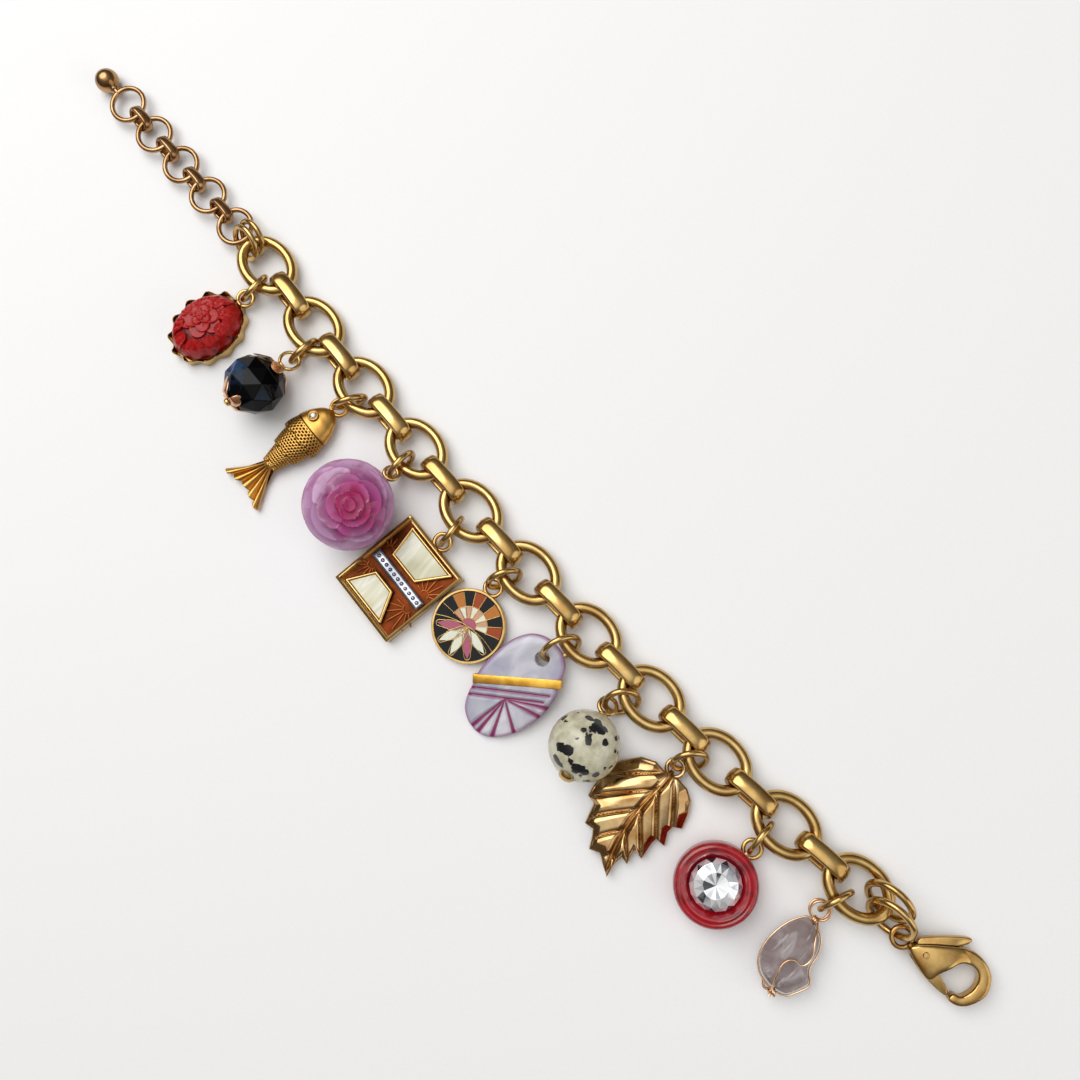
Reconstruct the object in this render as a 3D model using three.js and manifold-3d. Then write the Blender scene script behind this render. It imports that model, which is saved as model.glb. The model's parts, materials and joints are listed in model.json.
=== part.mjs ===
// Charm bracelet laid out open on a table, in millimetres, +Z up.
// The chain runs along +X from the end ball to the clasp, and the charms lie towards -Y.

import * as THREE from 'three';
import { mergeVertices } from 'three/addons/utils/BufferGeometryUtils.js';
import Module from 'manifold-3d';

const wasm = await Module();
wasm.setup();

// Fits
const CLEARANCE = 0.3;

// Heavy oval links
const LINK_LENGTH = 12.1;
const LINK_WIDTH = 9.5;
const LINK_WIRE = 1.9;
const LINK_HEIGHT = 2.0;
const LINK_GAP = 1.95;

// Broad connectors, which stand on edge between the links
const CONNECTOR_BAND = 2.4;
const CONNECTOR_WALL = 0.7;
const CONNECTOR_PLAY = 0.6;

// Route of the chain: heading of each step, lean of each connector, roll of each link, in degrees
const CHAIN_ROUTE = {
  heading: [-7, -5.2, -4.4, -3.2, -1.8, -0.8, 0.2, 1.4, 2.8, 4],
  lean: [-17, -18, -15, -14, -13, -12, -12, -14, -15, -15],
  roll: [-13, -14, -12, -9, -8, -7, -7, -8, -10, -11, -10],
};

// Jump rings that carry the charms
const JUMP_INSIDE = 4.5;
const JUMP_WIRE = 0.9;

// Eyes on the charms
const EYE_INSIDE = 2.1;
const EYE_WIRE = 0.7;
const EYE_HEIGHT = 1.6;

// Extension chain with the end ball
const EXTENSION_RINGS = 5;
const EXTENSION_RING_WIDTH = 6.9;
const EXTENSION_WIRE = 0.9;
const EXTENSION_GAP = 0.95;
const EXTENSION_BAND = 1.7;
const EXTENSION_WALL = 0.7;
const EXTENSION_HEIGHT = 3.0;
const EXTENSION_LIFT = 2.05;
const EXTENSION_LEAN = 25;
const SOLDER = 0.2;
const EXTENSION_TURN = 176.5;
const END_BALL = 4.3;
const END_NECK = 0.6;
const END_RING_INSIDE = 4.6;
const END_RING_STEP = 1.5;
const END_RING_LEAN = 35;
const RING_PLAY = 0.15;

// Lobster clasp
const CLASP_RING_INSIDE = 6.4;
const CLASP_RING_STEP = 1.7;
const CLASP_RING_LEAN = -30;
const CLASP_RING_SLACK = 1.9;
const CLASP_LENGTH = 14.1;
const CLASP_WIDTH = 8.2;
const CLASP_THICK = 3.2;
const CLASP_ROUNDING = 0.35;
const CLASP_EYE_HEIGHT = 2.2;
const CLASP_EYE_INSIDE = 2.3;
const CLASP_EYE_WIRE = 0.75;
const CLASP_NECK = 0.85;
const LEVER_THICK = 1.2;
const LEVER_HUB = 1.0;
const PIVOT_WIDTH = 0.9;

// Carved coral in a scalloped setting
const CORAL_LENGTH = 13.2;
const CORAL_WIDTH = 10.2;
const CORAL_HEIGHT = 5.4;
const CORAL_RELIEF = 0.45;
const CORAL_BACK = 0.6;
const CORAL_RIM = 0.5;
const CORAL_RIM_HEIGHT = 1.9;
const CORAL_SCALLOPS = 12;

// Black faceted bead with two petal caps
const BLACK_WIDTH = 10.6;
const BLACK_LENGTH = 10.0;
const BLACK_THICK = 9.4;
const BLACK_EYE_INSIDE = 2.7;
const BLACK_EYE_WIRE = 0.6;
const BLACK_EYE_HEIGHT = 1.9;
const CAP_WALL = 0.45;
const CAP_SPREAD = 4.4;
const BEAD_BORE = 1.2;
const PIN_WIRE = 0.7;
const PIN_NECK = 0.8;

// Fish
const FISH_LENGTH = 19.8;
const FISH_WIDTH = 7.0;
const FISH_THICK = 3.6;
const TAIL_WIDTH = 9.6;
const TAIL_LENGTH = 6.4;

// Carved rose bead
const ROSE_WIDTH = 15.2;
const ROSE_RELIEF = 0.5;
const ROSE_EYE_INSIDE = 1.6;
const ROSE_EYE_HEIGHT = 3.6;

// Rectangular charm with two pearl inlays
const SQUARE_WIDTH = 14.0;
const SQUARE_LENGTH = 16.3;
const SQUARE_BACK = 0.9;
const SQUARE_THICK = 2.2;
const SQUARE_RIM = 0.8;
const SQUARE_BAR = 2.2;
const PEARL_BEZEL = 0.45;
const PEARL_STEP = 0.3;
const PEARL_THICK = 1.0;

// Round enamel disc
const DISC_WIDTH = 12.4;
const DISC_THICK = 1.5;
const DISC_RIM = 0.5;

// Carved shell with a gold band
const SHELL_LENGTH = 19.2;
const SHELL_WIDTH = 12.4;
const SHELL_THICK = 1.7;
const SHELL_ROUNDING = 0.4;
const SHELL_HOLE = 2.5;
const SHELL_HOLE_HEIGHT = 2.9;
const SHELL_MARGIN = 1.8;
const SHELL_RING_INSIDE = 5.2;
const SHELL_GROOVE = 0.5;
const BAND_WIDTH = 1.5;
const BAND_DEPTH = 0.35;

// Spotted jasper bead
const JASPER_WIDTH = 11.3;
const JASPER_EYE_HEIGHT = 1.8;
const JASPER_ROWS = 9;
const PIN_HEAD = 2.6;
const PIN_HEAD_THICK = 0.7;

// Leaf
const LEAF_LENGTH = 18.6;
const LEAF_WIDTH = 14.9;
const LEAF_THICK = 0.9;
const LEAF_RISE = 2.0;

// Button with a clear stone
const BUTTON_WIDTH = 13.2;
const BUTTON_HEIGHT = 4.6;
const BUTTON_LIP = 1.1;
const BUTTON_WELL = 1.3;
const BUTTON_STONE_SINK = 0.6;
const STONE_WIDTH = 8.2;
const STONE_HEIGHT = 2.0;

// Wire-wrapped crystal
const CRYSTAL_LENGTH = 11.2;
const CRYSTAL_WIDTH = 8.3;
const CRYSTAL_THICK = 5.6;
const CRYSTAL_ROUNDING = 1.5;
const WRAP_WIRE = 0.5;
const WRAP_EYE_INSIDE = 2.6;
const WRAP_EYE_HEIGHT = 2.5;

// Values that follow from the sizes
const WELD = 1e-4;
const linkPitch = LINK_LENGTH + LINK_GAP;
const strandOffset = (LINK_WIDTH - LINK_WIRE) / 2;
const endOffset = (LINK_LENGTH - LINK_WIRE) / 2;
const linkEndRadius = strandOffset ** 2 / endOffset - LINK_WIRE / 2;
const linkEndCurve = linkEndRadius - Math.sqrt(linkEndRadius ** 2 - (CONNECTOR_BAND / 2) ** 2);
const connectorEnd = LINK_WIRE + CLEARANCE + CONNECTOR_WALL + linkEndCurve;
const connectorLength = LINK_GAP + 2 * connectorEnd + CONNECTOR_PLAY / 2;
const connectorHeight = LINK_HEIGHT + 2 * (CLEARANCE + CONNECTOR_WALL) + CONNECTOR_PLAY;
const eyeRadius = (EYE_INSIDE + EYE_WIRE) / 2;

const metal = (name, color, roughness) => {
  const material = new THREE.MeshStandardMaterial({ color, roughness, metalness: 1 });
  material.name = name;
  return material;
};
const stone = (name, color, roughness) => {
  const material = new THREE.MeshStandardMaterial({ color, roughness, metalness: 0 });
  material.name = name;
  return material;
};
const GOLD = metal('polished gold tone brass', 0xb08a3a, 0.25);
const ROSE_GOLD = metal('rose gold tone brass', 0xb98a66, 0.3);
const CORAL = stone('carved coral red resin', 0xb01818, 0.3);
const BLACK_GLASS = stone('black faceted glass', 0x0a0a0c, 0.1);
const ROSE = stone('pink carved resin', 0xb0608f, 0.3);
const PEARL = stone('mother of pearl', 0xdedcc4, 0.25);
const SHELL = stone('grey lilac shell', 0xb4b4be, 0.25);
const JASPER = stone('spotted jasper', 0xc0bca0, 0.3);
const RED = stone('red pearly button', 0xb01020, 0.2);
const CLEAR = stone('clear cut glass', 0xdfe3e0, 0.05);
const CRYSTAL = stone('smoky lilac quartz', 0x8e7f7a, 0.15);

const radians = THREE.MathUtils.degToRad;

// Turn a three.js geometry into a solid: shared corners joined, flat triangles dropped.
function solid(geometry) {
  const bare = new THREE.BufferGeometry();
  bare.setAttribute('position', geometry.getAttribute('position'));
  bare.setIndex(geometry.getIndex());
  const joined = mergeVertices(bare, WELD);
  const corners = joined.getIndex().array;
  const kept = [];
  for (let i = 0; i < corners.length; i += 3) {
    const [a, b, c] = [corners[i], corners[i + 1], corners[i + 2]];
    if (a !== b && b !== c && c !== a) {
      kept.push(a, b, c);
    }
  }
  const vertProperties = Float32Array.from(joined.getAttribute('position').array);
  const mesh = new wasm.Mesh({ numProp: 3, vertProperties, triVerts: Uint32Array.from(kept) });
  return new wasm.Manifold(mesh);
}

// Turn a solid back into a three.js geometry.
function skin(body) {
  const mesh = body.getMesh();
  const geometry = new THREE.BufferGeometry();
  geometry.setAttribute('position', new THREE.BufferAttribute(mesh.vertProperties, 3));
  geometry.setIndex(new THREE.BufferAttribute(mesh.triVerts, 1));
  geometry.computeVertexNormals();
  return geometry;
}

// Join several solids into one.
const fuse = (...bodies) => bodies.reduce((whole, body) => whole.add(body));

// A prism of an outline, from one height to another.
function prism(outline, low, high, { bevel = 0, steps = 1, curveSegments = 3 } = {}) {
  const geometry = new THREE.ExtrudeGeometry(outline, {
    depth: high - low - 2 * bevel,
    bevelEnabled: bevel > 0,
    bevelThickness: bevel,
    bevelSize: bevel,
    bevelOffset: -bevel,
    bevelSegments: steps,
    curveSegments,
  });
  return solid(geometry.translate(0, 0, low + bevel));
}

const box = (x, y, z) => new THREE.BoxGeometry(x, y, z);

// A body turned round the Z axis from a profile of [radius, height] rows.
function turned(profile, segments) {
  const points = profile.map(([radius, height]) => new THREE.Vector2(radius, height));
  return new THREE.LatheGeometry(points, segments).rotateX(Math.PI / 2);
}

// A ring of round wire lying flat.
const ring = (inside, wire, segments = 12, sides = 5) => new THREE.TorusGeometry(
  (inside + wire) / 2,
  wire / 2,
  sides,
  segments,
);

// A polygon of [out, up] points, as wide and as high as named.
function roundSection(width, height, sides) {
  const corners = Array.from({ length: sides }, (unused, i) => {
    const angle = (i + 0.5) * 2 * Math.PI / sides;
    return [Math.cos(angle), Math.sin(angle)];
  });
  const reach = [0, 1].map((axis) => Math.max(...corners.map((corner) => Math.abs(corner[axis]))));
  return corners.map(([out, up]) => [out * width / 2 / reach[0], up * height / 2 / reach[1]]);
}

// A band that is flat inside and round outside, as shares of its wall and its width.
function bandSection(wall, width) {
  const shares = [[-0.5, -0.5], [0.05, -0.5], [0.5, -0.24], [0.5, 0.24], [0.05, 0.5], [-0.5, 0.5]];
  return shares.map(([out, up]) => [out * wall, up * width]);
}

// A section carried round a closed flat path, anticlockwise.
function loop(path, steps, section) {
  const centres = path.getSpacedPoints(steps).slice(0, steps);
  const sides = section.length;
  const positions = [];
  const corners = [];
  centres.forEach((centre, i) => {
    const before = centres[(i + steps - 1) % steps];
    const after = centres[(i + 1) % steps];
    const along = after.clone().sub(before).normalize();
    section.forEach(([out, up]) => {
      positions.push(centre.x + along.y * out, centre.y - along.x * out, up);
    });
    for (let j = 0; j < sides; j += 1) {
      const here = i * sides + j;
      const beside = i * sides + (j + 1) % sides;
      const next = ((i + 1) % steps) * sides + j;
      const across = ((i + 1) % steps) * sides + (j + 1) % sides;
      corners.push(here, next, beside, next, across, beside);
    }
  });
  const geometry = new THREE.BufferGeometry();
  geometry.setAttribute('position', new THREE.Float32BufferAttribute(positions, 3));
  geometry.setIndex(corners);
  geometry.computeVertexNormals();
  return geometry;
}

const ellipse = (length, width) => new THREE.EllipseCurve(0, 0, length / 2, width / 2);

function stadium(length, width) {
  const path = new THREE.Path();
  const straight = (length - width) / 2;
  path.absarc(straight, 0, width / 2, -Math.PI / 2, Math.PI / 2);
  path.absarc(-straight, 0, width / 2, Math.PI / 2, 3 * Math.PI / 2);
  path.closePath();
  return path;
}

// A closed outline through [x, y] rows, given as shares of a width and a length.
function outline(rows, width, length) {
  return new THREE.Shape(rows.map(([x, y]) => new THREE.Vector2(x * width, y * length)));
}

function smoothOutline(rows, width, length, divisions) {
  const points = rows.map(([x, y]) => new THREE.Vector3(x * width, y * length, 0));
  const curve = new THREE.CatmullRomCurve3(points, true);
  const rim = curve.getPoints(divisions).slice(0, divisions);
  return new THREE.Shape(rim.map((p) => new THREE.Vector2(p.x, p.y)));
}

// Round wire along an open curve through [x, y, z] points.
function wire(points, width, steps) {
  const curve = new THREE.CatmullRomCurve3(points.map(([x, y, z]) => new THREE.Vector3(x, y, z)));
  const section = new THREE.Shape();
  section.absarc(0, 0, width / 2, 0, 2 * Math.PI);
  return solid(new THREE.ExtrudeGeometry(section, { extrudePath: curve, steps, curveSegments: 3 }));
}

const bar = (width, length, sides = 8) => new THREE.CylinderGeometry(width / 2, width / 2, length, sides);

const bracelet = new THREE.Group();
bracelet.name = 'charm_bracelet';
const laid = new THREE.Group();
bracelet.add(laid);

function add(parent, name, geometry, material) {
  const mesh = new THREE.Mesh(geometry, material);
  mesh.name = name;
  parent.add(mesh);
  return mesh;
}

// Chain of links and connectors
const linkGroups = [];

function layChain() {
  const linkBody = () => loop(
    ellipse(LINK_LENGTH - LINK_WIRE, LINK_WIDTH - LINK_WIRE),
    16,
    roundSection(LINK_WIRE, LINK_HEIGHT, 6),
  );
  const connectorBody = () => loop(
    stadium(connectorLength - CONNECTOR_WALL, connectorHeight - CONNECTOR_WALL),
    14,
    bandSection(CONNECTOR_WALL, CONNECTOR_BAND),
  ).rotateX(Math.PI / 2);
  const { heading, lean, roll } = CHAIN_ROUTE;
  const rests = lean.map((angle) => connectorHeight / 2 * Math.cos(radians(angle))
    + CONNECTOR_BAND / 2 * Math.abs(Math.sin(radians(angle))));
  const place = new THREE.Vector3();
  roll.forEach((angle, i) => {
    const before = heading[Math.max(i - 1, 0)];
    const after = heading[Math.min(i, heading.length - 1)];
    const lift = (rests[Math.max(i - 1, 0)] + rests[Math.min(i, rests.length - 1)]) / 2;
    const group = new THREE.Group();
    group.position.set(place.x, place.y, lift);
    group.rotation.set(radians(angle), 0, radians((before + after) / 2), 'ZYX');
    laid.add(group);
    linkGroups.push(group);
    add(group, `big_link_${i + 1}`, linkBody(), GOLD);
    if (i < heading.length) {
      const step = new THREE.Vector3(linkPitch, 0, 0)
        .applyAxisAngle(new THREE.Vector3(0, 0, 1), radians(heading[i]));
      const middle = place.clone().addScaledVector(step, 0.5);
      const connector = add(laid, `connector_${i + 1}`, connectorBody(), GOLD);
      connector.position.set(middle.x, middle.y, rests[i]);
      connector.rotation.set(radians(lean[i]), 0, radians(heading[i]), 'ZYX');
      place.add(step);
    }
  });
  laid.updateMatrixWorld(true);
}

// A jump ring round a link's near strand, and the middle of the eye that sits in it.
// slide is how far along the link the ring sits, turn its direction seen from above and lean how
// far its top tips over, in degrees. slack is 0 for a ring pulled away from the link, and 2 for
// one pushed back against it.
function hangRing(name, link, { slide, turn, lean, slack, inside, eyeWire, eyeReach, eyeHeight }) {
  const along = slide / endOffset;
  const bend = Math.sqrt(1 - along * along);
  const strand = new THREE.Vector3(slide, -strandOffset * bend, 0);
  const run = new THREE.Vector3(bend, strandOffset / endOffset * along, 0);
  linkGroups[link - 1].localToWorld(strand);
  run.transformDirection(linkGroups[link - 1].matrixWorld);
  const [tilt, swing] = [radians(lean), radians(turn)];
  const [sine, cosine] = [Math.sin(tilt), Math.cos(tilt)];
  const up = new THREE.Vector3(Math.cos(swing) * sine, Math.sin(swing) * sine, cosine);
  const normal = new THREE.Vector3(Math.cos(swing) * cosine, Math.sin(swing) * cosine, -sine);
  const away = new THREE.Vector3(Math.sin(swing), -Math.cos(swing), 0);
  const strandRoom = inside / 2 - LINK_HEIGHT / 2 / Math.abs(normal.dot(run)) - CLEARANCE - RING_PLAY / 2;
  const radius = (inside + JUMP_WIRE) / 2;
  const lowest = radius * cosine + JUMP_WIRE / 2;
  const height = Math.max(lowest, strand.z - 0.6 * strandRoom * cosine);
  const rise = (strand.z - height) / cosine;
  const centre = strand.clone().addScaledVector(up, -rise)
    .addScaledVector(away, (1 - slack) * Math.sqrt(Math.max(strandRoom ** 2 - rise ** 2, 0)));
  const drop = (eyeHeight - height) / cosine;
  const spare = Math.max(eyeReach - (eyeWire + EYE_INSIDE) / 2, 0);
  const eye = centre.clone().addScaledVector(up, drop)
    .addScaledVector(away, Math.sqrt(radius ** 2 - drop ** 2) + spare);
  const mesh = add(laid, name, ring(inside, JUMP_WIRE).rotateY(Math.PI / 2), GOLD);
  mesh.position.copy(centre);
  mesh.rotation.set(0, tilt, swing, 'ZYX');
  return eye;
}

// A group whose origin lies on the table under the top of the charm's eye, with the charm towards -Y.
function charmGroup(name, link, hang) {
  const seat = {
    slack: 0,
    inside: JUMP_INSIDE,
    eyeWire: EYE_WIRE,
    eyeReach: eyeRadius,
    eyeHeight: EYE_HEIGHT,
    ...hang,
  };
  const eye = hangRing(`jump_ring_${name}`, link, seat);
  const { eyeReach } = seat;
  const heading = radians(hang.heading);
  const group = new THREE.Group();
  group.position.set(eye.x - eyeReach * Math.sin(heading), eye.y + eyeReach * Math.cos(heading), 0);
  group.rotation.z = heading;
  laid.add(group);
  return group;
}

const flatEye = (inside = EYE_INSIDE, width = EYE_WIRE, height = EYE_HEIGHT) => solid(
  ring(inside, width, 10).translate(0, -(inside + width) / 2, height),
);

// Carved coral
function addCoral() {
  const group = charmGroup('coral', 1, { slide: 2.1, turn: 0, lean: 22, heading: -8 });
  const centre = -2 * eyeRadius + EYE_WIRE / 4 - CORAL_LENGTH / 2 - CORAL_RIM;
  const scalloped = new THREE.Shape();
  const [a, b] = [CORAL_WIDTH / 2 + CORAL_RIM, CORAL_LENGTH / 2 + CORAL_RIM];
  const at = (angle, out) => [(a + out) * Math.cos(angle), (b + out) * Math.sin(angle)];
  scalloped.moveTo(...at(0, CORAL_RIM));
  for (let i = 0; i < CORAL_SCALLOPS; i += 1) {
    const [from, to] = [i, i + 1].map((step) => step * 2 * Math.PI / CORAL_SCALLOPS);
    scalloped.quadraticCurveTo(...at((from + to) / 2, -CORAL_RIM / 5), ...at(to, CORAL_RIM));
  }
  const pocket = new THREE.Shape();
  pocket.absellipse(0, 0, CORAL_WIDTH / 2 + CLEARANCE, CORAL_LENGTH / 2 + CLEARANCE, 0, 2 * Math.PI);
  const setting = prism(scalloped, 0, CORAL_RIM_HEIGHT)
    .subtract(prism(pocket, CORAL_BACK, 2 * CORAL_RIM_HEIGHT, { curveSegments: 14 }))
    .translate([0, centre, 0]);
  add(group, 'coral_setting', skin(setting.add(flatEye())), GOLD);
  const low = CORAL_BACK + CLEARANCE;
  const dome = CORAL_HEIGHT - CORAL_RIM_HEIGHT;
  const domeRows = [[1, 0], [0.93, 0.35], [0.78, 0.63], [0.6, 0.8], [0.4, 0.92], [0.2, 1], [0, 1]];
  const rows = [[0, low], [0.96, low]]
    .concat(domeRows.map(([reach, rise]) => [reach, CORAL_RIM_HEIGHT + rise * dome]));
  const carved = turned(rows, 26).scale(CORAL_WIDTH / 2, CORAL_LENGTH / 2, 1);
  carve(carved, (x, y, z) => {
    const reach = Math.hypot(x / CORAL_WIDTH, y / CORAL_LENGTH) * 2;
    const wave = Math.cos(3 * Math.atan2(y, x) + 9 * reach);
    return z > CORAL_RIM_HEIGHT ? z + CORAL_RELIEF * (wave - 1) * Math.min(1, 3 * (1 - reach)) / 2 : z;
  });
  add(group, 'coral_stone', carved.translate(0, centre, 0), CORAL);
}

// Move the height of every corner of a geometry by a rule.
function carve(geometry, rule) {
  const corners = geometry.getAttribute('position');
  for (let i = 0; i < corners.count; i += 1) {
    const [x, y, z] = [corners.getX(i), corners.getY(i), corners.getZ(i)];
    corners.setZ(i, rule(x, y, z));
  }
}

// Tip a flat charm up at its eye, with its far end on the table.
function propUp(meshes, rise, length) {
  const tilt = Math.asin(rise / length);
  meshes.forEach((mesh) => {
    mesh.rotation.x = tilt;
    mesh.position.z = rise;
  });
}

// How far a hanging bead tips before it rests on the table, with its eye end low.
function restTilt(halfThick, halfLength, distance, eyeHeight) {
  let [low, high] = [0, Math.PI / 2];
  for (let i = 0; i < 30; i += 1) {
    const tilt = (low + high) / 2;
    const need = Math.hypot(halfThick * Math.cos(tilt), halfLength * Math.sin(tilt));
    if (eyeHeight + distance * Math.sin(tilt) < need) {
      low = tilt;
    } else {
      high = tilt;
    }
  }
  return low;
}

// Bead and pin are drawn along +Z with the eye's wire at the origin, then laid over and tipped.
function layBead(group, tilt, height, pieces) {
  pieces.forEach(([name, geometry, material]) => {
    const mesh = add(group, name, geometry.rotateX(-Math.PI / 2), material);
    mesh.rotation.x = -tilt;
    mesh.position.z = height;
  });
}

const uprightEye = (inside, width) => solid(
  ring(inside, width, 10).rotateX(Math.PI / 2).translate(0, 0, -(inside + width) / 2),
);

const shaft = (width, high, low) => solid(
  bar(width, high - low).rotateX(Math.PI / 2).translate(0, 0, (high + low) / 2),
);

function addBlackBead() {
  const eyeHeight = BLACK_EYE_HEIGHT;
  const group = charmGroup('black_bead', 2, {
    slide: 2.5, turn: -4, lean: 14, heading: -4, eyeWire: BLACK_EYE_WIRE,
    eyeReach: (BLACK_EYE_INSIDE + BLACK_EYE_WIRE) / 2, eyeHeight,
  });
  const neck = -BLACK_EYE_INSIDE - 1.5 * BLACK_EYE_WIRE;
  const middle = neck - PIN_NECK - BLACK_LENGTH / 2;
  const bore = BEAD_BORE / BLACK_WIDTH;
  const rows = [[bore, -0.96], [0.45, -0.9], [0.86, -0.5], [1, 0], [0.86, 0.5], [0.45, 0.9], [bore, 0.96]];
  const grown = (grow) => [...rows, rows[0]].map(([radius, height]) => [
    radius * (BLACK_WIDTH / 2 + grow),
    height * (BLACK_LENGTH / 2 + grow),
  ]);
  const flatter = [1, BLACK_THICK / BLACK_WIDTH, 1];
  const bead = turned(grown(0), 10).scale(...flatter).translate(0, 0, middle);
  const petals = new THREE.Shape();
  for (let i = 0; i < 4; i += 1) {
    const [side, tip] = [(2 * i - 1) * Math.PI / 4, i * Math.PI / 2];
    const foot = [Math.cos(side) * PIN_WIRE, Math.sin(side) * PIN_WIRE];
    const top = [Math.cos(tip) * CAP_SPREAD, Math.sin(tip) * CAP_SPREAD];
    const bulge = [tip - 0.55, tip + 0.55].map((angle) => [
      Math.cos(angle) * CAP_SPREAD * 0.72,
      Math.sin(angle) * CAP_SPREAD * 0.72,
    ]);
    if (i === 0) {
      petals.moveTo(...foot);
    }
    petals.quadraticCurveTo(...bulge[0], ...top);
    petals.quadraticCurveTo(...bulge[1], -foot[1], foot[0]);
  }
  const crust = solid(turned(grown(CLEARANCE + CAP_WALL), 10).scale(...flatter))
    .subtract(solid(turned(grown(CLEARANCE), 10).scale(...flatter)));
  const cap = prism(petals, 0, BLACK_LENGTH).intersect(crust);
  const foot = middle - BLACK_LENGTH / 2 - CLEARANCE;
  const pin = fuse(
    uprightEye(BLACK_EYE_INSIDE, BLACK_EYE_WIRE),
    shaft(2 * PIN_WIRE, neck + PIN_WIRE / 2, neck - PIN_NECK),
    shaft(PIN_WIRE, neck, foot),
    shaft(2 * PIN_WIRE, foot, foot - CAP_WALL),
    cap.translate([0, 0, middle]),
    cap.mirror([0, 0, 1]).rotate([0, 0, 45]).translate([0, 0, middle]),
  );
  const tilt = restTilt(BLACK_THICK / 2 + CLEARANCE + CAP_WALL, BLACK_LENGTH / 2, -middle, eyeHeight);
  layBead(group, tilt, eyeHeight, [
    ['black_bead', bead, BLACK_GLASS],
    ['black_bead_pin', skin(pin), ROSE_GOLD],
  ]);
}

function addFish() {
  const group = charmGroup('fish', 3, { slide: 0.4, turn: -28, lean: 5, heading: -6, slack: 1.5 });
  const mouth = -2 * eyeRadius + EYE_WIRE / 2;
  const rows = [[0, 0], [0.12, 0], [0.42, 0.06], [0.74, 0.14], [0.94, 0.23], [1, 0.31], [0.99, 0.37],
    [0.92, 0.38], [0.96, 0.45], [0.9, 0.53], [0.8, 0.54], [0.6, 0.62], [0.38, 0.7], [0.26, 0.75], [0, 0.76]];
  const profile = rows.map(([radius, along]) => [radius * FISH_WIDTH / 2, -along * FISH_LENGTH]).reverse();
  const flat = solid(turned(profile, 14).scale(1, FISH_THICK / FISH_WIDTH, 1).rotateX(-Math.PI / 2))
    .translate([0, mouth, FISH_THICK / 2]);
  const root = mouth - 0.72 * FISH_LENGTH;
  const flutes = [-2, -1, 0, 1, 2].map((place) => {
    const spread = Math.atan2(TAIL_WIDTH / 2 - 1, TAIL_LENGTH) * place / 2;
    const reach = TAIL_LENGTH * (0.92 + 0.05 * Math.abs(place));
    const cone = new THREE.CylinderGeometry(0.4, TAIL_WIDTH / 8, reach, 8).translate(0, -reach / 2, 0);
    cone.scale(1, 1, 0.8).rotateZ(spread).translate(0, root, TAIL_WIDTH / 10);
    return solid(cone);
  });
  const fin = new THREE.Shape([[-0.4, 0], [-TAIL_WIDTH / 2 + 1, -TAIL_LENGTH * 0.9],
    [TAIL_WIDTH / 2 - 1, -TAIL_LENGTH * 0.9], [0.4, 0]].map(([x, y]) => new THREE.Vector2(x, y)));
  const web = prism(fin, 0.4, 1.2).translate([0, root, 0]);
  const eye = solid(ring(EYE_INSIDE, EYE_WIRE, 10).translate(0, -eyeRadius, EYE_HEIGHT));
  add(group, 'fish', skin(fuse(eye, flat, web, ...flutes)), GOLD);
}

function addRose() {
  const eyeHeight = ROSE_EYE_HEIGHT;
  const group = charmGroup('rose_bead', 4, {
    slide: 0.6, turn: 3, lean: 0, heading: -4, slack: 1.1,
    eyeReach: (ROSE_EYE_INSIDE + EYE_WIRE) / 2, eyeHeight,
  });
  const radius = ROSE_WIDTH / 2;
  const middle = -ROSE_EYE_INSIDE - 1.5 * EYE_WIRE + ROSE_RELIEF - radius;
  const ball = new THREE.SphereGeometry(radius, 22, 15);
  const corners = ball.getAttribute('position');
  const point = new THREE.Vector3();
  for (let i = 0; i < corners.count; i += 1) {
    point.fromBufferAttribute(corners, i);
    const fromFace = Math.acos(THREE.MathUtils.clamp(point.y / radius, -1, 1));
    const around = Math.atan2(point.z, point.x);
    const petal = Math.sin(around + 4.5 * fromFace) * Math.sin(fromFace);
    point.multiplyScalar(1 - ROSE_RELIEF / radius * (1 - petal) / 2);
    corners.setXYZ(i, point.x, point.y, point.z);
  }
  const hollow = shaft(BEAD_BORE, middle + 2 * radius, middle);
  const bead = solid(ball.rotateX(Math.PI)).translate([0, 0, middle]).subtract(hollow);
  const peg = fuse(
    uprightEye(ROSE_EYE_INSIDE, EYE_WIRE),
    shaft(PIN_WIRE, -ROSE_EYE_INSIDE - EYE_WIRE, middle + radius / 2),
  );
  layBead(group, restTilt(radius, radius, -middle, eyeHeight), eyeHeight, [
    ['rose_bead', skin(bead), ROSE],
    ['rose_bead_eye', skin(peg), GOLD],
  ]);
}

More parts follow.
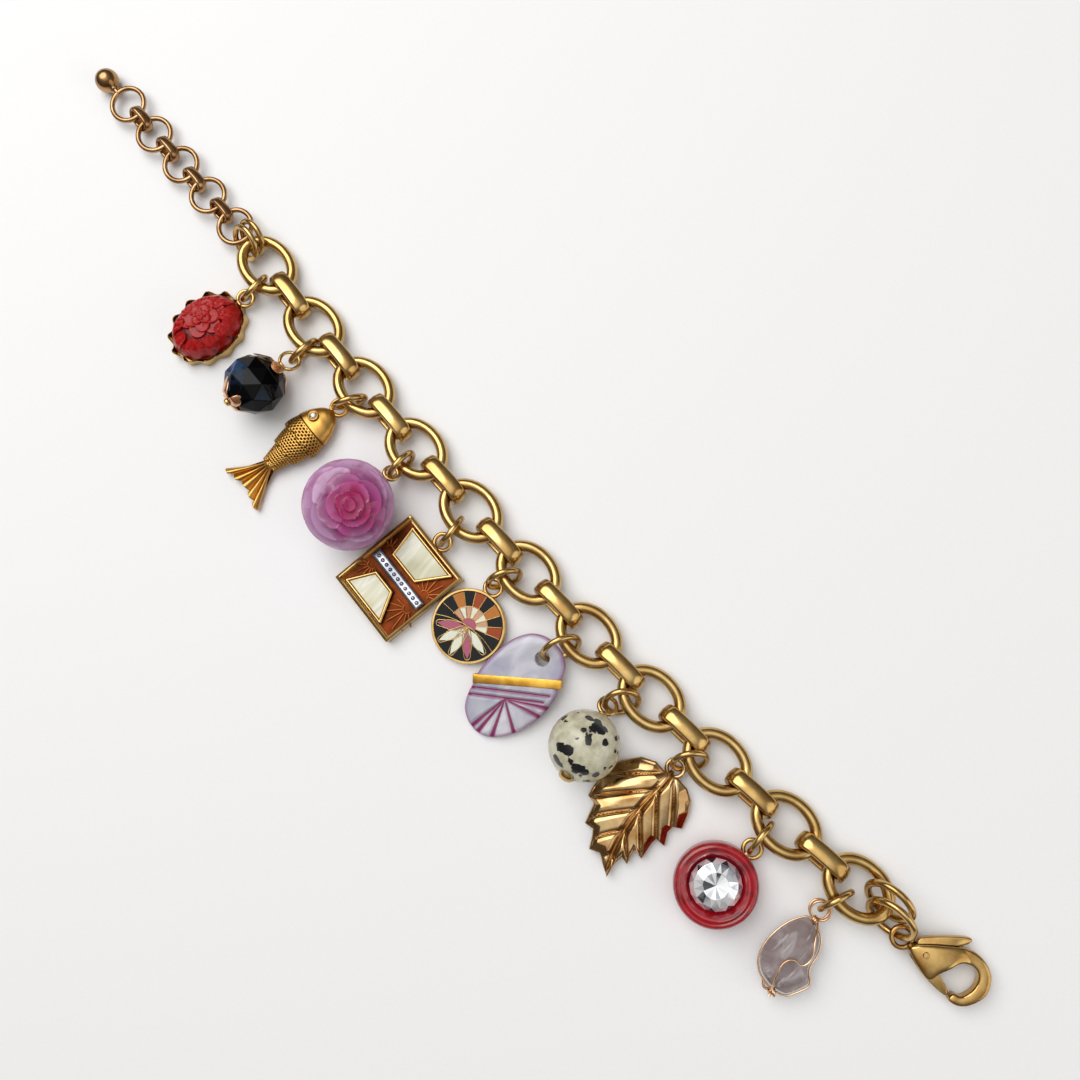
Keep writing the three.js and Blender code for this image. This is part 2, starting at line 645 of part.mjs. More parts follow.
function addSquare() {
  const group = charmGroup('square', 5, { slide: 0.3, turn: 6, lean: 12, heading: -5.5 });
  const [halfWidth, halfLength] = [SQUARE_WIDTH / 2, SQUARE_LENGTH / 2];
  const centre = -2 * eyeRadius + EYE_WIRE / 4 - halfLength;
  const plate = (inset) => outline([[-1, -1], [1, -1], [1, 1], [-1, 1]], halfWidth - inset, halfLength - inset);
  const tray = prism(plate(0), 0, SQUARE_THICK)
    .subtract(prism(plate(SQUARE_RIM), SQUARE_BACK, 2 * SQUARE_THICK));
  const crossbar = solid(box(SQUARE_WIDTH - SQUARE_RIM, SQUARE_BAR, SQUARE_THICK - SQUARE_BACK / 2))
    .translate([0, 0, (SQUARE_THICK + SQUARE_BACK / 2) / 2 - SQUARE_RIM / 4]);
  const upper = [[-0.79, 0.94], [0.86, 0.94], [0.35, 0.24], [-0.59, 0.24]];
  const lower = [[-0.51, -0.32], [0.16, -0.32], [0.59, -0.94], [-0.86, -0.94]];
  const pearls = [upper, lower].map((rows) => {
    const [x0, y0] = rows.reduce(([x, y], row) => [x + row[0] / 4, y + row[1] / 4], [0, 0]);
    const [cellWidth, cellLength] = [halfWidth - SQUARE_RIM, halfLength - SQUARE_RIM];
    const grown = (gap) => outline(rows.map(([x, y]) => [
      x + Math.sign(x - x0) * gap / cellWidth,
      y + Math.sign(y - y0) * gap / cellLength,
    ]), cellWidth, cellLength);
    const bezel = prism(grown(CLEARANCE + PEARL_BEZEL), SQUARE_BACK / 2, SQUARE_THICK - PEARL_STEP)
      .subtract(prism(grown(CLEARANCE), SQUARE_BACK, 2 * SQUARE_THICK));
    const inlay = prism(grown(0), SQUARE_BACK + CLEARANCE, SQUARE_BACK + CLEARANCE + PEARL_THICK);
    return { bezel, inlay };
  });
  const frame = fuse(tray, crossbar, ...pearls.map(({ bezel }) => bezel)).translate([0, centre, 0]);
  add(group, 'square_frame', skin(frame.add(flatEye())), GOLD);
  pearls.forEach(({ inlay }, i) => {
    add(group, `square_pearl_${i + 1}`, skin(inlay.translate([0, centre, 0])), PEARL);
  });
}

function addDisc() {
  const group = charmGroup('disc', 6, { slide: -1.95, turn: -24, lean: -17, heading: 12, slack: 1.0 });
  const radius = DISC_WIDTH / 2;
  const middle = EYE_WIRE / 4 - 2 * eyeRadius - radius;
  const soft = DISC_RIM * 0.4;
  const rows = [[0, 0], [radius - soft, 0], [radius, soft],
    [radius, DISC_THICK - soft], [radius - soft, DISC_THICK],
    [radius - DISC_RIM, DISC_THICK], [radius - 1.2 * DISC_RIM, DISC_THICK - soft], [0, DISC_THICK - soft / 2]];
  const disc = solid(turned(rows, 28)).translate([0, middle, 0]);
  const mesh = add(group, 'enamel_disc', skin(disc.add(flatEye(EYE_INSIDE, EYE_WIRE, DISC_THICK / 2))), GOLD);
  propUp([mesh], EYE_HEIGHT - DISC_THICK / 2, radius - middle);
}

// Shell outline as shares of its width and length, clockwise from the top.
const SHELL_ROWS = [[-0.08, 0.5], [0.12, 0.49], [0.29, 0.42], [0.38, 0.3], [0.4, 0.25], [0.46, 0.21],
  [0.5, 0.1], [0.5, -0.08], [0.43, -0.26], [0.28, -0.42], [0.1, -0.5], [-0.1, -0.5], [-0.28, -0.44],
  [-0.38, -0.34], [-0.43, -0.24], [-0.47, -0.18], [-0.5, -0.06], [-0.5, 0.1], [-0.46, 0.27],
  [-0.36, 0.4], [-0.23, 0.47]];

function addShell() {
  const eyeReach = (SHELL_MARGIN + SHELL_HOLE) / 2;
  const group = charmGroup('shell', 7, {
    slide: -1.2, turn: -19, lean: -23, heading: 0, slack: 0.1,
    inside: SHELL_RING_INSIDE, eyeWire: SHELL_MARGIN, eyeReach, eyeHeight: SHELL_HOLE_HEIGHT,
  });
  const shape = (grow) => smoothOutline(SHELL_ROWS, SHELL_WIDTH + 2 * grow, SHELL_LENGTH + 2 * grow, 34);
  const whole = prism(shape(0), 0, SHELL_THICK, { bevel: SHELL_ROUNDING, steps: 2 });
  const angle = Math.atan2(0.48 * SHELL_LENGTH, 0.84 * SHELL_WIDTH) * 180 / Math.PI;
  const middle = [-0.03 * SHELL_WIDTH, 0.05 * SHELL_LENGTH, 0];
  const strip = (wide) => solid(box(2 * SHELL_LENGTH, wide, 4 * SHELL_THICK))
    .rotate([0, 0, angle])
    .translate(middle);
  const core = (gap) => prism(
    shape(gap - BAND_DEPTH),
    BAND_DEPTH - gap,
    SHELL_THICK - BAND_DEPTH + gap,
    { bevel: SHELL_ROUNDING },
  );
  const channel = strip(BAND_WIDTH + 2 * CLEARANCE).subtract(core(-CLEARANCE));
  const band = strip(BAND_WIDTH)
    .intersect(prism(shape(0), 0, SHELL_THICK, { bevel: SHELL_ROUNDING }))
    .subtract(core(0));
  const groove = (from, to) => {
    const [dx, dy] = [(to[0] - from[0]) * SHELL_WIDTH, (to[1] - from[1]) * SHELL_LENGTH];
    const cut = box(2 * Math.hypot(dx, dy), SHELL_GROOVE, SHELL_GROOVE).rotateX(Math.PI / 4)
      .translate(Math.hypot(dx, dy), 0, 0).rotateZ(Math.atan2(dy, dx));
    return solid(cut.translate(from[0] * SHELL_WIDTH, from[1] * SHELL_LENGTH, SHELL_THICK));
  };
  const fan = [[-0.05, -0.5], [0.06, -0.5], [0.24, -0.44], [0.42, -0.28], [0.48, -0.03], [0.49, 0.07]]
    .map((end) => groove([0.02, -0.13], end));
  const stripes = [0.075, 0.15].map((shift) => groove([-0.5, -0.24 - shift], [0.4, 0.23 - shift]));
  const drop = (SHELL_MARGIN - SHELL_LENGTH) / 2;
  const bore = solid(bar(SHELL_HOLE, 4 * SHELL_THICK, 10).rotateX(Math.PI / 2))
    .translate([0, -eyeReach - drop, 0]);
  const shell = [channel, bore, ...fan, ...stripes].reduce((left, cut) => left.subtract(cut), whole);
  propUp([
    add(group, 'shell', skin(shell.translate([0, drop, 0])), SHELL),
    add(group, 'shell_band', skin(band.translate([0, drop, 0])), GOLD),
  ], SHELL_HOLE_HEIGHT - SHELL_THICK / 2, SHELL_LENGTH - SHELL_MARGIN);
}

function addJasper() {
  const eyeHeight = JASPER_EYE_HEIGHT;
  const group = charmGroup('jasper', 8, { slide: -2.9, turn: -32, lean: -38, heading: 13, eyeHeight });
  const radius = JASPER_WIDTH / 2;
  const middle = -2 * eyeRadius - EYE_WIRE / 2 - radius;
  const start = Math.asin(BEAD_BORE / JASPER_WIDTH);
  const arc = Array.from({ length: JASPER_ROWS }, (unused, i) => {
    const angle = start + (Math.PI - 2 * start) * i / (JASPER_ROWS - 1);
    return [radius * Math.sin(angle), -radius * Math.cos(angle)];
  });
  const bead = turned([...arc, arc[0]], 16).translate(0, 0, middle);
  const foot = middle - radius - CLEARANCE;
  const head = [[0, 1], [0.6, 0.86], [1, 0.14], [1, 0], [0, 0]]
    .map(([reach, drop]) => [reach * PIN_HEAD / 2, foot - drop * PIN_HEAD_THICK]);
  const pin = fuse(
    uprightEye(EYE_INSIDE, EYE_WIRE),
    shaft(PIN_WIRE, -2 * eyeRadius, foot - PIN_HEAD_THICK / 3),
    solid(turned(head, 10)),
  );
  layBead(group, restTilt(radius, radius, -middle, eyeHeight), eyeHeight, [
    ['jasper_bead', bead, JASPER],
    ['jasper_bead_pin', skin(pin), GOLD],
  ]);
}

// Leaf outline as shares of its width and length, from the stem clockwise, with its teeth.
const LEAF_ROWS = [[0, 0], [0.1, 0.02], [0.23, 0.015], [0.35, -0.035], [0.43, -0.12], [0.5, -0.26],
  [0.42, -0.25], [0.415, -0.36], [0.495, -0.465], [0.38, -0.465], [0.38, -0.53], [0.42, -0.68],
  [0.3, -0.67], [0.35, -0.8], [0.26, -0.785], [0.255, -0.87], [0.295, -1], [0.17, -0.945], [0.07, -0.9],
  [-0.04, -0.945], [-0.115, -0.845], [-0.16, -0.8], [-0.26, -0.82], [-0.34, -0.645], [-0.44, -0.64],
  [-0.47, -0.55], [-0.5, -0.38], [-0.455, -0.225], [-0.335, -0.075], [-0.19, -0.01], [-0.07, -0.016]];

function addLeaf() {
  const group = charmGroup('leaf', 9, { slide: -3.3, turn: -34, lean: -30, heading: 0, slack: 1.1 });
  const stem = -2 * eyeRadius + EYE_WIRE / 4;
  const slab = new THREE.BoxGeometry(1.1 * LEAF_WIDTH, 1.1 * LEAF_LENGTH, LEAF_THICK, 12, 9, 1)
    .translate(0, -LEAF_LENGTH / 2, LEAF_THICK / 2);
  carve(slab, (x, y, z) => {
    const along = -y / LEAF_LENGTH;
    const rib = (0.02 + 0.25 * Math.max(along, 0) ** 3) * LEAF_WIDTH;
    const side = Math.abs(x - rib) / LEAF_WIDTH * 2;
    return z + LEAF_RISE * Math.max(1 - side * side, 0) * (1 - 0.5 * along);
  });
  const leaf = solid(slab)
    .intersect(prism(outline(LEAF_ROWS, LEAF_WIDTH, LEAF_LENGTH), -LEAF_RISE, 3 * LEAF_RISE))
    .translate([0, stem, 0]);
  const stalk = solid(box(EYE_WIRE * 1.5, EYE_WIRE * 2, LEAF_RISE + LEAF_THICK))
    .translate([0, stem, (LEAF_RISE + LEAF_THICK) / 2 + LEAF_THICK / 9]);
  add(group, 'leaf', skin(fuse(leaf, stalk, flatEye())), GOLD);
}

function addButton() {
  const group = charmGroup('button', 10, { slide: -1.7, turn: 6, lean: -10, heading: -2, slack: 0.4 });
  const radius = BUTTON_WIDTH / 2;
  const seat = STONE_WIDTH / 2 + CLEARANCE;
  const floor = BUTTON_HEIGHT - STONE_HEIGHT - BUTTON_STONE_SINK;
  const foot = [[1, 0], [0.27, 0.45], [0, 1.27]]
    .map(([inset, rise]) => [radius - inset * BUTTON_LIP, rise * BUTTON_LIP]);
  const crest = [[0, 0.82], [0.27, 0.18], [0.64, 0], [1, 0.27]]
    .map(([inset, drop]) => [radius - inset * BUTTON_LIP, BUTTON_HEIGHT - drop * BUTTON_LIP]);
  const well = [[0.3, 0.85], [0, 1]]
    .map(([inset, drop]) => [seat + inset * BUTTON_WELL, BUTTON_HEIGHT - drop * BUTTON_WELL]);
  const rows = [[0, 0], ...foot, ...crest, ...well, [seat, floor], [0, floor]];
  const centre = -2 * eyeRadius + EYE_WIRE / 4 - radius;
  const body = solid(turned(rows, 24)).translate([0, centre, 0]);
  const lug = solid(box(EYE_WIRE * 1.5, radius, EYE_WIRE))
    .translate([0, centre + radius / 2 + CLEARANCE, EYE_HEIGHT]);
  const shank = solid(box(EYE_WIRE * 1.5, radius / 2, EYE_WIRE))
    .translate([0, centre + radius, EYE_HEIGHT])
    .intersect(lug);
  add(group, 'button', skin(fuse(body, shank, flatEye())), RED);
  const low = floor + CLEARANCE;
  const cut = [[0, low], [0.35, low], [0.96, low + 0.4 * STONE_HEIGHT], [1, low + 0.5 * STONE_HEIGHT],
    [0.76, low + 0.82 * STONE_HEIGHT], [0.52, low + STONE_HEIGHT], [0, low + STONE_HEIGHT]];
  const facets = cut.map(([share, height]) => [share * STONE_WIDTH / 2, height]);
  add(group, 'rhinestone', turned(facets, 12).translate(0, centre, 0), CLEAR);
}

// Crystal outline as shares of its width and length, from the foot of its wire eye.
const CRYSTAL_ROWS = [[-0.02, 0], [0.16, -0.02], [0.36, -0.09], [0.5, -0.25], [0.58, -0.48],
  [0.77, -0.61], [0.72, -0.78], [0.62, -0.93], [0.44, -0.99], [0.27, -1], [0.05, -0.96], [-0.14, -0.84],
  [-0.23, -0.63], [-0.23, -0.37], [-0.16, -0.16]];

function addCrystal() {
  const eyeHeight = WRAP_EYE_HEIGHT;
  const group = charmGroup('crystal', 11, {
    slide: -1.5, turn: -16, lean: -12, heading: 0, slack: 1.0, eyeWire: WRAP_WIRE,
    eyeReach: (WRAP_EYE_INSIDE + WRAP_WIRE) / 2, eyeHeight,
  });
  const top = -WRAP_EYE_INSIDE - 1.5 * WRAP_WIRE - CLEARANCE;
  const grown = (grow) => CRYSTAL_ROWS.map(([x, y]) => {
    const [dx, dy] = [x - 0.26, y + 0.5];
    const reach = Math.hypot(dx * CRYSTAL_WIDTH, dy * CRYSTAL_LENGTH);
    return [0.26 + dx * (1 + grow / reach), -0.5 + dy * (1 + grow / reach)];
  });
  const gemOutline = outline(grown(0), CRYSTAL_WIDTH, CRYSTAL_LENGTH);
  const gem = prism(gemOutline, 0, CRYSTAL_THICK, { bevel: CRYSTAL_ROUNDING, steps: 2 })
    .translate([0, top, 0]);
  const round = new THREE.CatmullRomCurve3(
    grown(WRAP_WIRE / 2 + 2 * CLEARANCE)
      .map(([x, y]) => new THREE.Vector3(x * CRYSTAL_WIDTH, y * CRYSTAL_LENGTH, 0)),
    true,
  );
  const hoop = solid(loop(round, 26, roundSection(WRAP_WIRE, WRAP_WIRE, 5))).translate([0, top, eyeHeight]);
  const over = CRYSTAL_THICK + WRAP_WIRE / 2 + CLEARANCE;
  const bends = [[0.1, 0.08, eyeHeight], [0.12, 0.04, over - 0.5], [0.24, -0.14, over], [0.42, -0.4, over],
    [0.36, -0.5, over], [0.2, -0.53, over], [0.12, -0.65, over], [0.25, -0.85, over], [0.38, -1.05, over - 0.5],
    [0.4, -1.09, eyeHeight]];
  const front = wire(
    bends.map(([x, y, z]) => [x * CRYSTAL_WIDTH, top + y * CRYSTAL_LENGTH, z]),
    WRAP_WIRE,
    24,
  );
  const knot = solid(ring(WRAP_WIRE, WRAP_WIRE, 8).rotateY(Math.PI / 2)
    .translate(0.4 * CRYSTAL_WIDTH, top - 1.06 * CRYSTAL_LENGTH, eyeHeight));
  const eye = solid(ring(WRAP_EYE_INSIDE, WRAP_WIRE, 14))
    .translate([0, -(WRAP_EYE_INSIDE + WRAP_WIRE) / 2, eyeHeight]);
  const joint = solid(box(4 * WRAP_WIRE, 2 * WRAP_WIRE, WRAP_WIRE))
    .translate([WRAP_WIRE, top + 1.6 * WRAP_WIRE, eyeHeight]);
  add(group, 'crystal', skin(gem), CRYSTAL);
  add(group, 'crystal_wire', skin(fuse(hoop, front, knot, eye, joint)), GOLD);
}

// Extension chain, soldered here into one piece, and the two rings that hold it
function addExtension() {
  const group = new THREE.Group();
  const start = linkGroups[0].localToWorld(new THREE.Vector3(-endOffset, 0, 0));
  const lean = radians(END_RING_LEAN);
  const strandRoom = END_RING_INSIDE / 2 - LINK_HEIGHT / 2 / Math.cos(lean) - CLEARANCE - RING_PLAY;
  const ringRoom = END_RING_INSIDE / 2 - EXTENSION_WIRE / 2 / Math.cos(lean) - CLEARANCE - RING_PLAY;
  const ringHeight = (END_RING_INSIDE + JUMP_WIRE) / 2 * Math.cos(lean) + JUMP_WIRE / 2;
  const endHeight = EXTENSION_LIFT;
  const rise = Math.min(Math.abs(start.z - ringHeight) / Math.cos(lean), strandRoom);
  const drop = Math.min(Math.abs(endHeight - ringHeight) / Math.cos(lean), ringRoom);
  const reach = Math.sqrt(strandRoom ** 2 - rise ** 2);
  const seat = Math.sqrt(ringRoom ** 2 - drop ** 2);
  const sway = Math.sin(lean) * drop / 2;
  group.position.set(start.x, start.y, 0);
  group.rotation.z = radians(EXTENSION_TURN);
  laid.add(group);
  [-1, 1].forEach((side, i) => {
    const mesh = add(group, `end_ring_${i + 1}`, ring(END_RING_INSIDE, JUMP_WIRE).rotateX(Math.PI / 2), GOLD);
    mesh.position.set(reach, side * END_RING_STEP / 2 - sway, ringHeight);
    mesh.rotation.set(lean, 0, 0);
  });
  const radius = EXTENSION_RING_WIDTH / 2;
  const pitch = EXTENSION_RING_WIDTH + EXTENSION_GAP;
  const first = reach + seat + radius - EXTENSION_WIRE / 2;
  const inside = EXTENSION_RING_WIDTH - 2 * EXTENSION_WIRE;
  const bodies = [];
  for (let i = 0; i < EXTENSION_RINGS; i += 1) {
    bodies.push(solid(ring(inside, EXTENSION_WIRE, 14).translate(first + i * pitch, 0, endHeight)));
    if (i > 0) {
      const length = EXTENSION_GAP + 2 * (EXTENSION_WIRE + EXTENSION_WALL - SOLDER);
      const band = loop(
        stadium(length - EXTENSION_WALL, EXTENSION_HEIGHT - EXTENSION_WALL),
        10,
        bandSection(EXTENSION_WALL, EXTENSION_BAND),
      );
      band.rotateX(Math.PI / 2 + radians(EXTENSION_LEAN)).translate(first + (i - 0.5) * pitch, 0, endHeight);
      bodies.push(solid(band));
    }
  }
  const tip = first + (EXTENSION_RINGS - 1) * pitch + radius;
  const ball = new THREE.SphereGeometry(END_BALL / 2, 12, 8)
    .translate(tip + END_NECK + END_BALL / 2, 0, END_BALL / 2);
  const neck = bar(EXTENSION_WIRE, END_NECK + END_BALL / 2).rotateZ(Math.PI / 2)
    .translate(tip + (END_NECK + END_BALL / 2) / 2 - EXTENSION_WIRE / 4, 0, endHeight);
  add(group, 'extension_chain', skin(fuse(...bodies, solid(neck), solid(ball))), GOLD);
}

// Clasp outlines as shares of its length and width, from the middle of its eye.
const CLASP_BODY = [[0.13, 0.07], [0.3, 0.38], [0.52, 0.68], [0.7, 0.77], [0.88, 0.68], [0.98, 0.46],
  [1, 0.24], [0.95, -0.02], [0.87, -0.17], [0.755, -0.215], [0.755, -0.05], [0.83, 0], [0.865, 0.24],
  [0.82, 0.46], [0.72, 0.54], [0.6, 0.44], [0.555, 0.22], [0.51, 0], [0.48, -0.22], [0.3, -0.18],
  [0.13, -0.08]];
const LEVER_BODY = [[0.14, 0.26], [0.46, 0.84], [0.52, 0.78], [0.36, 0.3], [0.34, 0.1], [0.46, 0.02],
  [0.68, -0.08], [0.71, -0.2], [0.5, -0.225], [0.36, -0.2], [0.27, -0.12], [0.2, 0.02]];
const LEVER_SLOT = [[0.05, 0.16], [0.4, 1.1], [0.6, 1.1], [0.57, 0.78], [0.5, 0.62], [0.42, 0.36],
  [0.42, 0.3], [0.56, 0.25], [0.6, 0.1], [0.62, -0.4], [0.2, -0.4], [0.155, 0.02]];
const PIVOT = [0.27, 0.08];

function addClasp() {
  const group = new THREE.Group();
  const start = linkGroups[linkGroups.length - 1].localToWorld(new THREE.Vector3(endOffset, 0, 0));
  const lean = radians(CLASP_RING_LEAN);
  const strandRoom = CLASP_RING_INSIDE / 2 - LINK_HEIGHT / 2 / Math.cos(lean) - CLEARANCE - RING_PLAY;
  const ringRadius = (CLASP_RING_INSIDE + JUMP_WIRE) / 2;
  const height = ringRadius * Math.cos(lean) + JUMP_WIRE / 2;
  const rise = (start.z - height) / Math.cos(lean);
  const drop = (CLASP_EYE_HEIGHT - height) / Math.cos(lean);
  const reach = Math.sqrt(Math.max(strandRoom ** 2 - rise ** 2, 0));
  const seat = Math.sqrt(ringRadius ** 2 - drop ** 2);
  const sway = Math.sin(lean) * drop;
  group.position.set(start.x, start.y, 0);
  laid.add(group);
  [1, -1].forEach((side, i) => {
    const held = ring(CLASP_RING_INSIDE, JUMP_WIRE).rotateX(Math.PI / 2);
    const mesh = add(group, `clasp_ring_${i + 1}`, held, GOLD);
    mesh.position.set(reach - (side + 1) / 2 * CLASP_RING_SLACK, side * CLASP_RING_STEP / 2 + sway, height);
    mesh.rotation.x = lean;
  });
  const clasp = new THREE.Group();
  const eyeReach = (CLASP_EYE_INSIDE + CLASP_EYE_WIRE) / 2;
  clasp.position.set(reach + seat, -CLASP_RING_STEP / 2, CLASP_EYE_HEIGHT);
  clasp.rotation.y = Math.asin((CLASP_EYE_HEIGHT - CLASP_THICK / 2) / CLASP_LENGTH);
  group.add(clasp);
  const shape = (rows) => outline(rows, CLASP_LENGTH, CLASP_WIDTH);
  const cheeks = smoothOutline(CLASP_BODY, CLASP_LENGTH, CLASP_WIDTH, 60);
  const gap = LEVER_THICK + 2 * CLEARANCE;
  const pivotAt = [PIVOT[0] * CLASP_LENGTH, PIVOT[1] * CLASP_WIDTH, 0];
  const shaftBody = (width, long) => solid(bar(width, long, 12).rotateX(Math.PI / 2)).translate(pivotAt);
  const body = prism(cheeks, -CLASP_THICK / 2, CLASP_THICK / 2, { bevel: CLASP_ROUNDING })
    .subtract(prism(shape(LEVER_SLOT), -gap / 2, gap / 2));
  const eye = solid(ring(CLASP_EYE_INSIDE, CLASP_EYE_WIRE, 12, 6));
  const neck = solid(bar(1.5 * CLASP_EYE_WIRE, CLASP_NECK, 8).rotateZ(Math.PI / 2))
    .translate([eyeReach + CLASP_NECK / 2, 0, 0]);
  add(clasp, 'clasp_body', skin(fuse(body, eye, neck, shaftBody(PIVOT_WIDTH, CLASP_THICK - 0.4))), GOLD);
  const lever = prism(shape(LEVER_BODY), -LEVER_THICK / 2, LEVER_THICK / 2)
    .add(shaftBody(2 * LEVER_HUB, LEVER_THICK))
    .subtract(shaftBody(PIVOT_WIDTH + 2 * CLEARANCE, 2 * LEVER_THICK));
  add(clasp, 'clasp_lever', skin(lever), GOLD);
}

layChain();
addExtension();
addClasp();
addCoral();
addBlackBead();
addFish();
addRose();
addSquare();
addDisc();
addShell();
addJasper();
addLeaf();
addButton();
addCrystal();

// The origin is the middle of the footprint, on the table.
const reachBox = new THREE.Box3().setFromObject(laid, true);
const middle = reachBox.getCenter(new THREE.Vector3());
laid.position.set(-middle.x, -middle.y, -reachBox.min.z);
bracelet.updateMatrixWorld(true);

export default bracelet;
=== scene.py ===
import json
import math

import bmesh
import bpy
import numpy as np
from bpy.props import FloatProperty, FloatVectorProperty, PointerProperty
from mathutils import Matrix, Vector


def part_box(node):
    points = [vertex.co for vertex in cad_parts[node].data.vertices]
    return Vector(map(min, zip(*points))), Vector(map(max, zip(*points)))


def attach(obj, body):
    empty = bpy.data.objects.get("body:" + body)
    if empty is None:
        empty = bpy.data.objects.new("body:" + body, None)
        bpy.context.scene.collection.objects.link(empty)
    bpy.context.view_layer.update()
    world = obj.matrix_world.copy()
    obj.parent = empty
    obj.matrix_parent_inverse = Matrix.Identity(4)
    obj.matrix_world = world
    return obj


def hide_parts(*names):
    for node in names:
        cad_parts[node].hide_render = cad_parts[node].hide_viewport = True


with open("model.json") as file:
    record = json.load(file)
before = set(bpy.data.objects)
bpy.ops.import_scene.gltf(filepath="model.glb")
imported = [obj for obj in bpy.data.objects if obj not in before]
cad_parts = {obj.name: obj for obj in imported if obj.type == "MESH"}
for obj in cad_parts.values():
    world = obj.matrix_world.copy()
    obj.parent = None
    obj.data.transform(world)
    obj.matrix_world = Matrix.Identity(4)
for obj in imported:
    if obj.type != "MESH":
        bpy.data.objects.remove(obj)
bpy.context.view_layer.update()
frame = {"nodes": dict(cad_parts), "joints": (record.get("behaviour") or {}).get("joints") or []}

bl_info = {
    "name": "Charm bracelet",
    "version": (1, 0, 0),
    "blender": (4, 5, 0),
    "location": "3D Viewport > Sidebar > Bracelet",
    "description": "Builds a charm bracelet that lies open on a table",
    "category": "Add Mesh",
}

# Pieces are modelled in millimetres at the origin and laid in place in metres.
MM = 0.001
BODY = "bracelet"
LEVER = "clasp_lever"

# A charm's origin lies in its eye: its edge starts below that, and the eye's wire lies above the table.
BELOW_EYE = 2.625
EYE_LIE = 1.6


# Places of the pieces, taken from the CAD solids


def points_of(obj):
    """The corners of a mesh as rows of x, y and z."""
    flat = np.empty(len(obj.data.vertices) * 3)
    obj.data.vertices.foreach_get("co", flat)
    return flat.reshape(-1, 3)


def corners_of(name):
    """Corners of a CAD node in millimetres."""
    return points_of(frame["nodes"][name]) / MM


def matrix_from(x_axis, y_axis, z_axis, origin):
    """Places a piece drawn in millimetres: its axes and its origin in the frame of the CAD."""
    columns = [Vector(axis).normalized() * MM for axis in (x_axis, y_axis, z_axis)]
    matrix = Matrix.Identity(4)
    for index, column in enumerate(columns):
        matrix.col[index][:3] = column
    matrix.col[3][:3] = Vector(origin) * MM
    return matrix


def ring_place(name):
    """Where a ring or link lies: X along its length, Z square to its plane."""
    corners = corners_of(name)
    centre = (corners.min(0) + corners.max(0)) / 2
    spread = np.linalg.eigh(np.cov((corners - corners.mean(0)).T))[1]
    normal, along = spread[:, 0], spread[:, 2]
    along = along if along[0] > 0 else -along
    normal = normal if normal[2] > 0 else -normal
    return matrix_from(along, np.cross(normal, along), normal, centre)


def upright_place(name):
    """Where a band that stands on edge lies: X along it, Y across it, Z up its loop."""
    corners = corners_of(name)
    centre = (corners.min(0) + corners.max(0)) / 2
    spread = np.linalg.eigh(np.cov((corners - corners.mean(0)).T))[1]
    across, along = spread[:, 0], spread[:, 2]
    along = along if along[0] > 0 else -along
    across = across if across[1] > 0 else -across
    return matrix_from(along, across, np.cross(along, across), centre)


def flat_place(name, heading, rise=0.0, length=1.0, above=0.35):
    """Where a charm lies that points to -Y: its origin is under its eye, just below its top."""
    turn = math.radians(heading)
    corners = corners_of(name)
    spin = np.array([[math.cos(turn), math.sin(turn)], [-math.sin(turn), math.cos(turn)]])
    local = corners[:, :2] @ spin.T
    middle = (local[:, 0].min() + local[:, 0].max()) / 2
    x, y = spin.T @ np.array([middle, local[:, 1].max() - above])
    tilt = math.asin(rise / length)
    along = Vector((-math.sin(turn) * math.cos(tilt), math.cos(turn) * math.cos(tilt), math.sin(tilt)))
    side = Vector((math.cos(turn), math.sin(turn), 0))
    return matrix_from(side, along, side.cross(along), (x, y, rise))


def hang_place(bead, pin):
    """Where a threaded bead lies: its origin is the bead's middle, and +Y runs up its pin to the eye."""
    corners = corners_of(bead)
    centre = (corners.min(0) + corners.max(0)) / 2
    pins = corners_of(pin)
    far = np.argsort(-np.linalg.norm(pins - centre, axis=1))[:8]
    along = Vector(pins[far].mean(0) - centre).normalized()
    side = along.cross(Vector((0, 0, 1))).normalized()
    return matrix_from(side, along, side.cross(along), centre)


# Modelling


def only(obj):
    """Select one object alone and make it active."""
    bpy.ops.object.select_all(action="DESELECT")
    obj.select_set(True)
    bpy.context.view_layer.objects.active = obj
    return obj


def added(name):
    """The object that a primitive operator has just made, named."""
    obj = bpy.context.view_layer.objects.active
    obj.name = name
    return only(obj)


def pick(obj, test, kind="VERT"):
    """In edit mode, select the corners, edges or faces that pass a test of their place."""
    bpy.ops.mesh.select_mode(type=kind)
    bpy.ops.mesh.select_all(action="DESELECT")
    shape = bmesh.from_edit_mesh(obj.data)
    parts = {"VERT": shape.verts, "EDGE": shape.edges, "FACE": shape.faces}[kind]
    for part in parts:
        part.select_set(test(part))
    shape.select_flush_mode()
    bmesh.update_edit_mesh(obj.data)


def edit(obj):
    """Open a mesh for editing with nothing selected."""
    only(obj)
    bpy.ops.object.mode_set(mode="EDIT")
    bpy.ops.mesh.select_all(action="DESELECT")


def done(obj):
    """Go back to object mode."""
    bpy.ops.object.mode_set(mode="OBJECT")
    return only(obj)


def finish_with(obj, kind, **settings):
    """Add a modifier and apply it."""
    only(obj)
    modifier = obj.modifiers.new(kind, kind)
    for key, value in settings.items():
        setattr(modifier, key, value)
    bpy.ops.object.modifier_apply(modifier=modifier.name)
    return obj


def round_edges(obj, width, segments, sharp, **settings):
    """Bevel the edges whose faces turn by more than an angle in degrees."""
    return finish_with(obj, "BEVEL", width=width, segments=segments, limit_method="ANGLE",
                       angle_limit=math.radians(sharp), **settings)


def smooth(obj, angle=40):
    """Shade smooth, with edges sharper than the angle left crisp."""
    only(obj)
    bpy.ops.object.shade_smooth_by_angle(angle=math.radians(angle))
    return obj


def reshape(obj, rule):
    """Move every corner of a mesh by a rule from its place to its new place."""
    obj.data.vertices.foreach_set("co", rule(points_of(obj)).ravel())
    obj.data.update()
    return obj


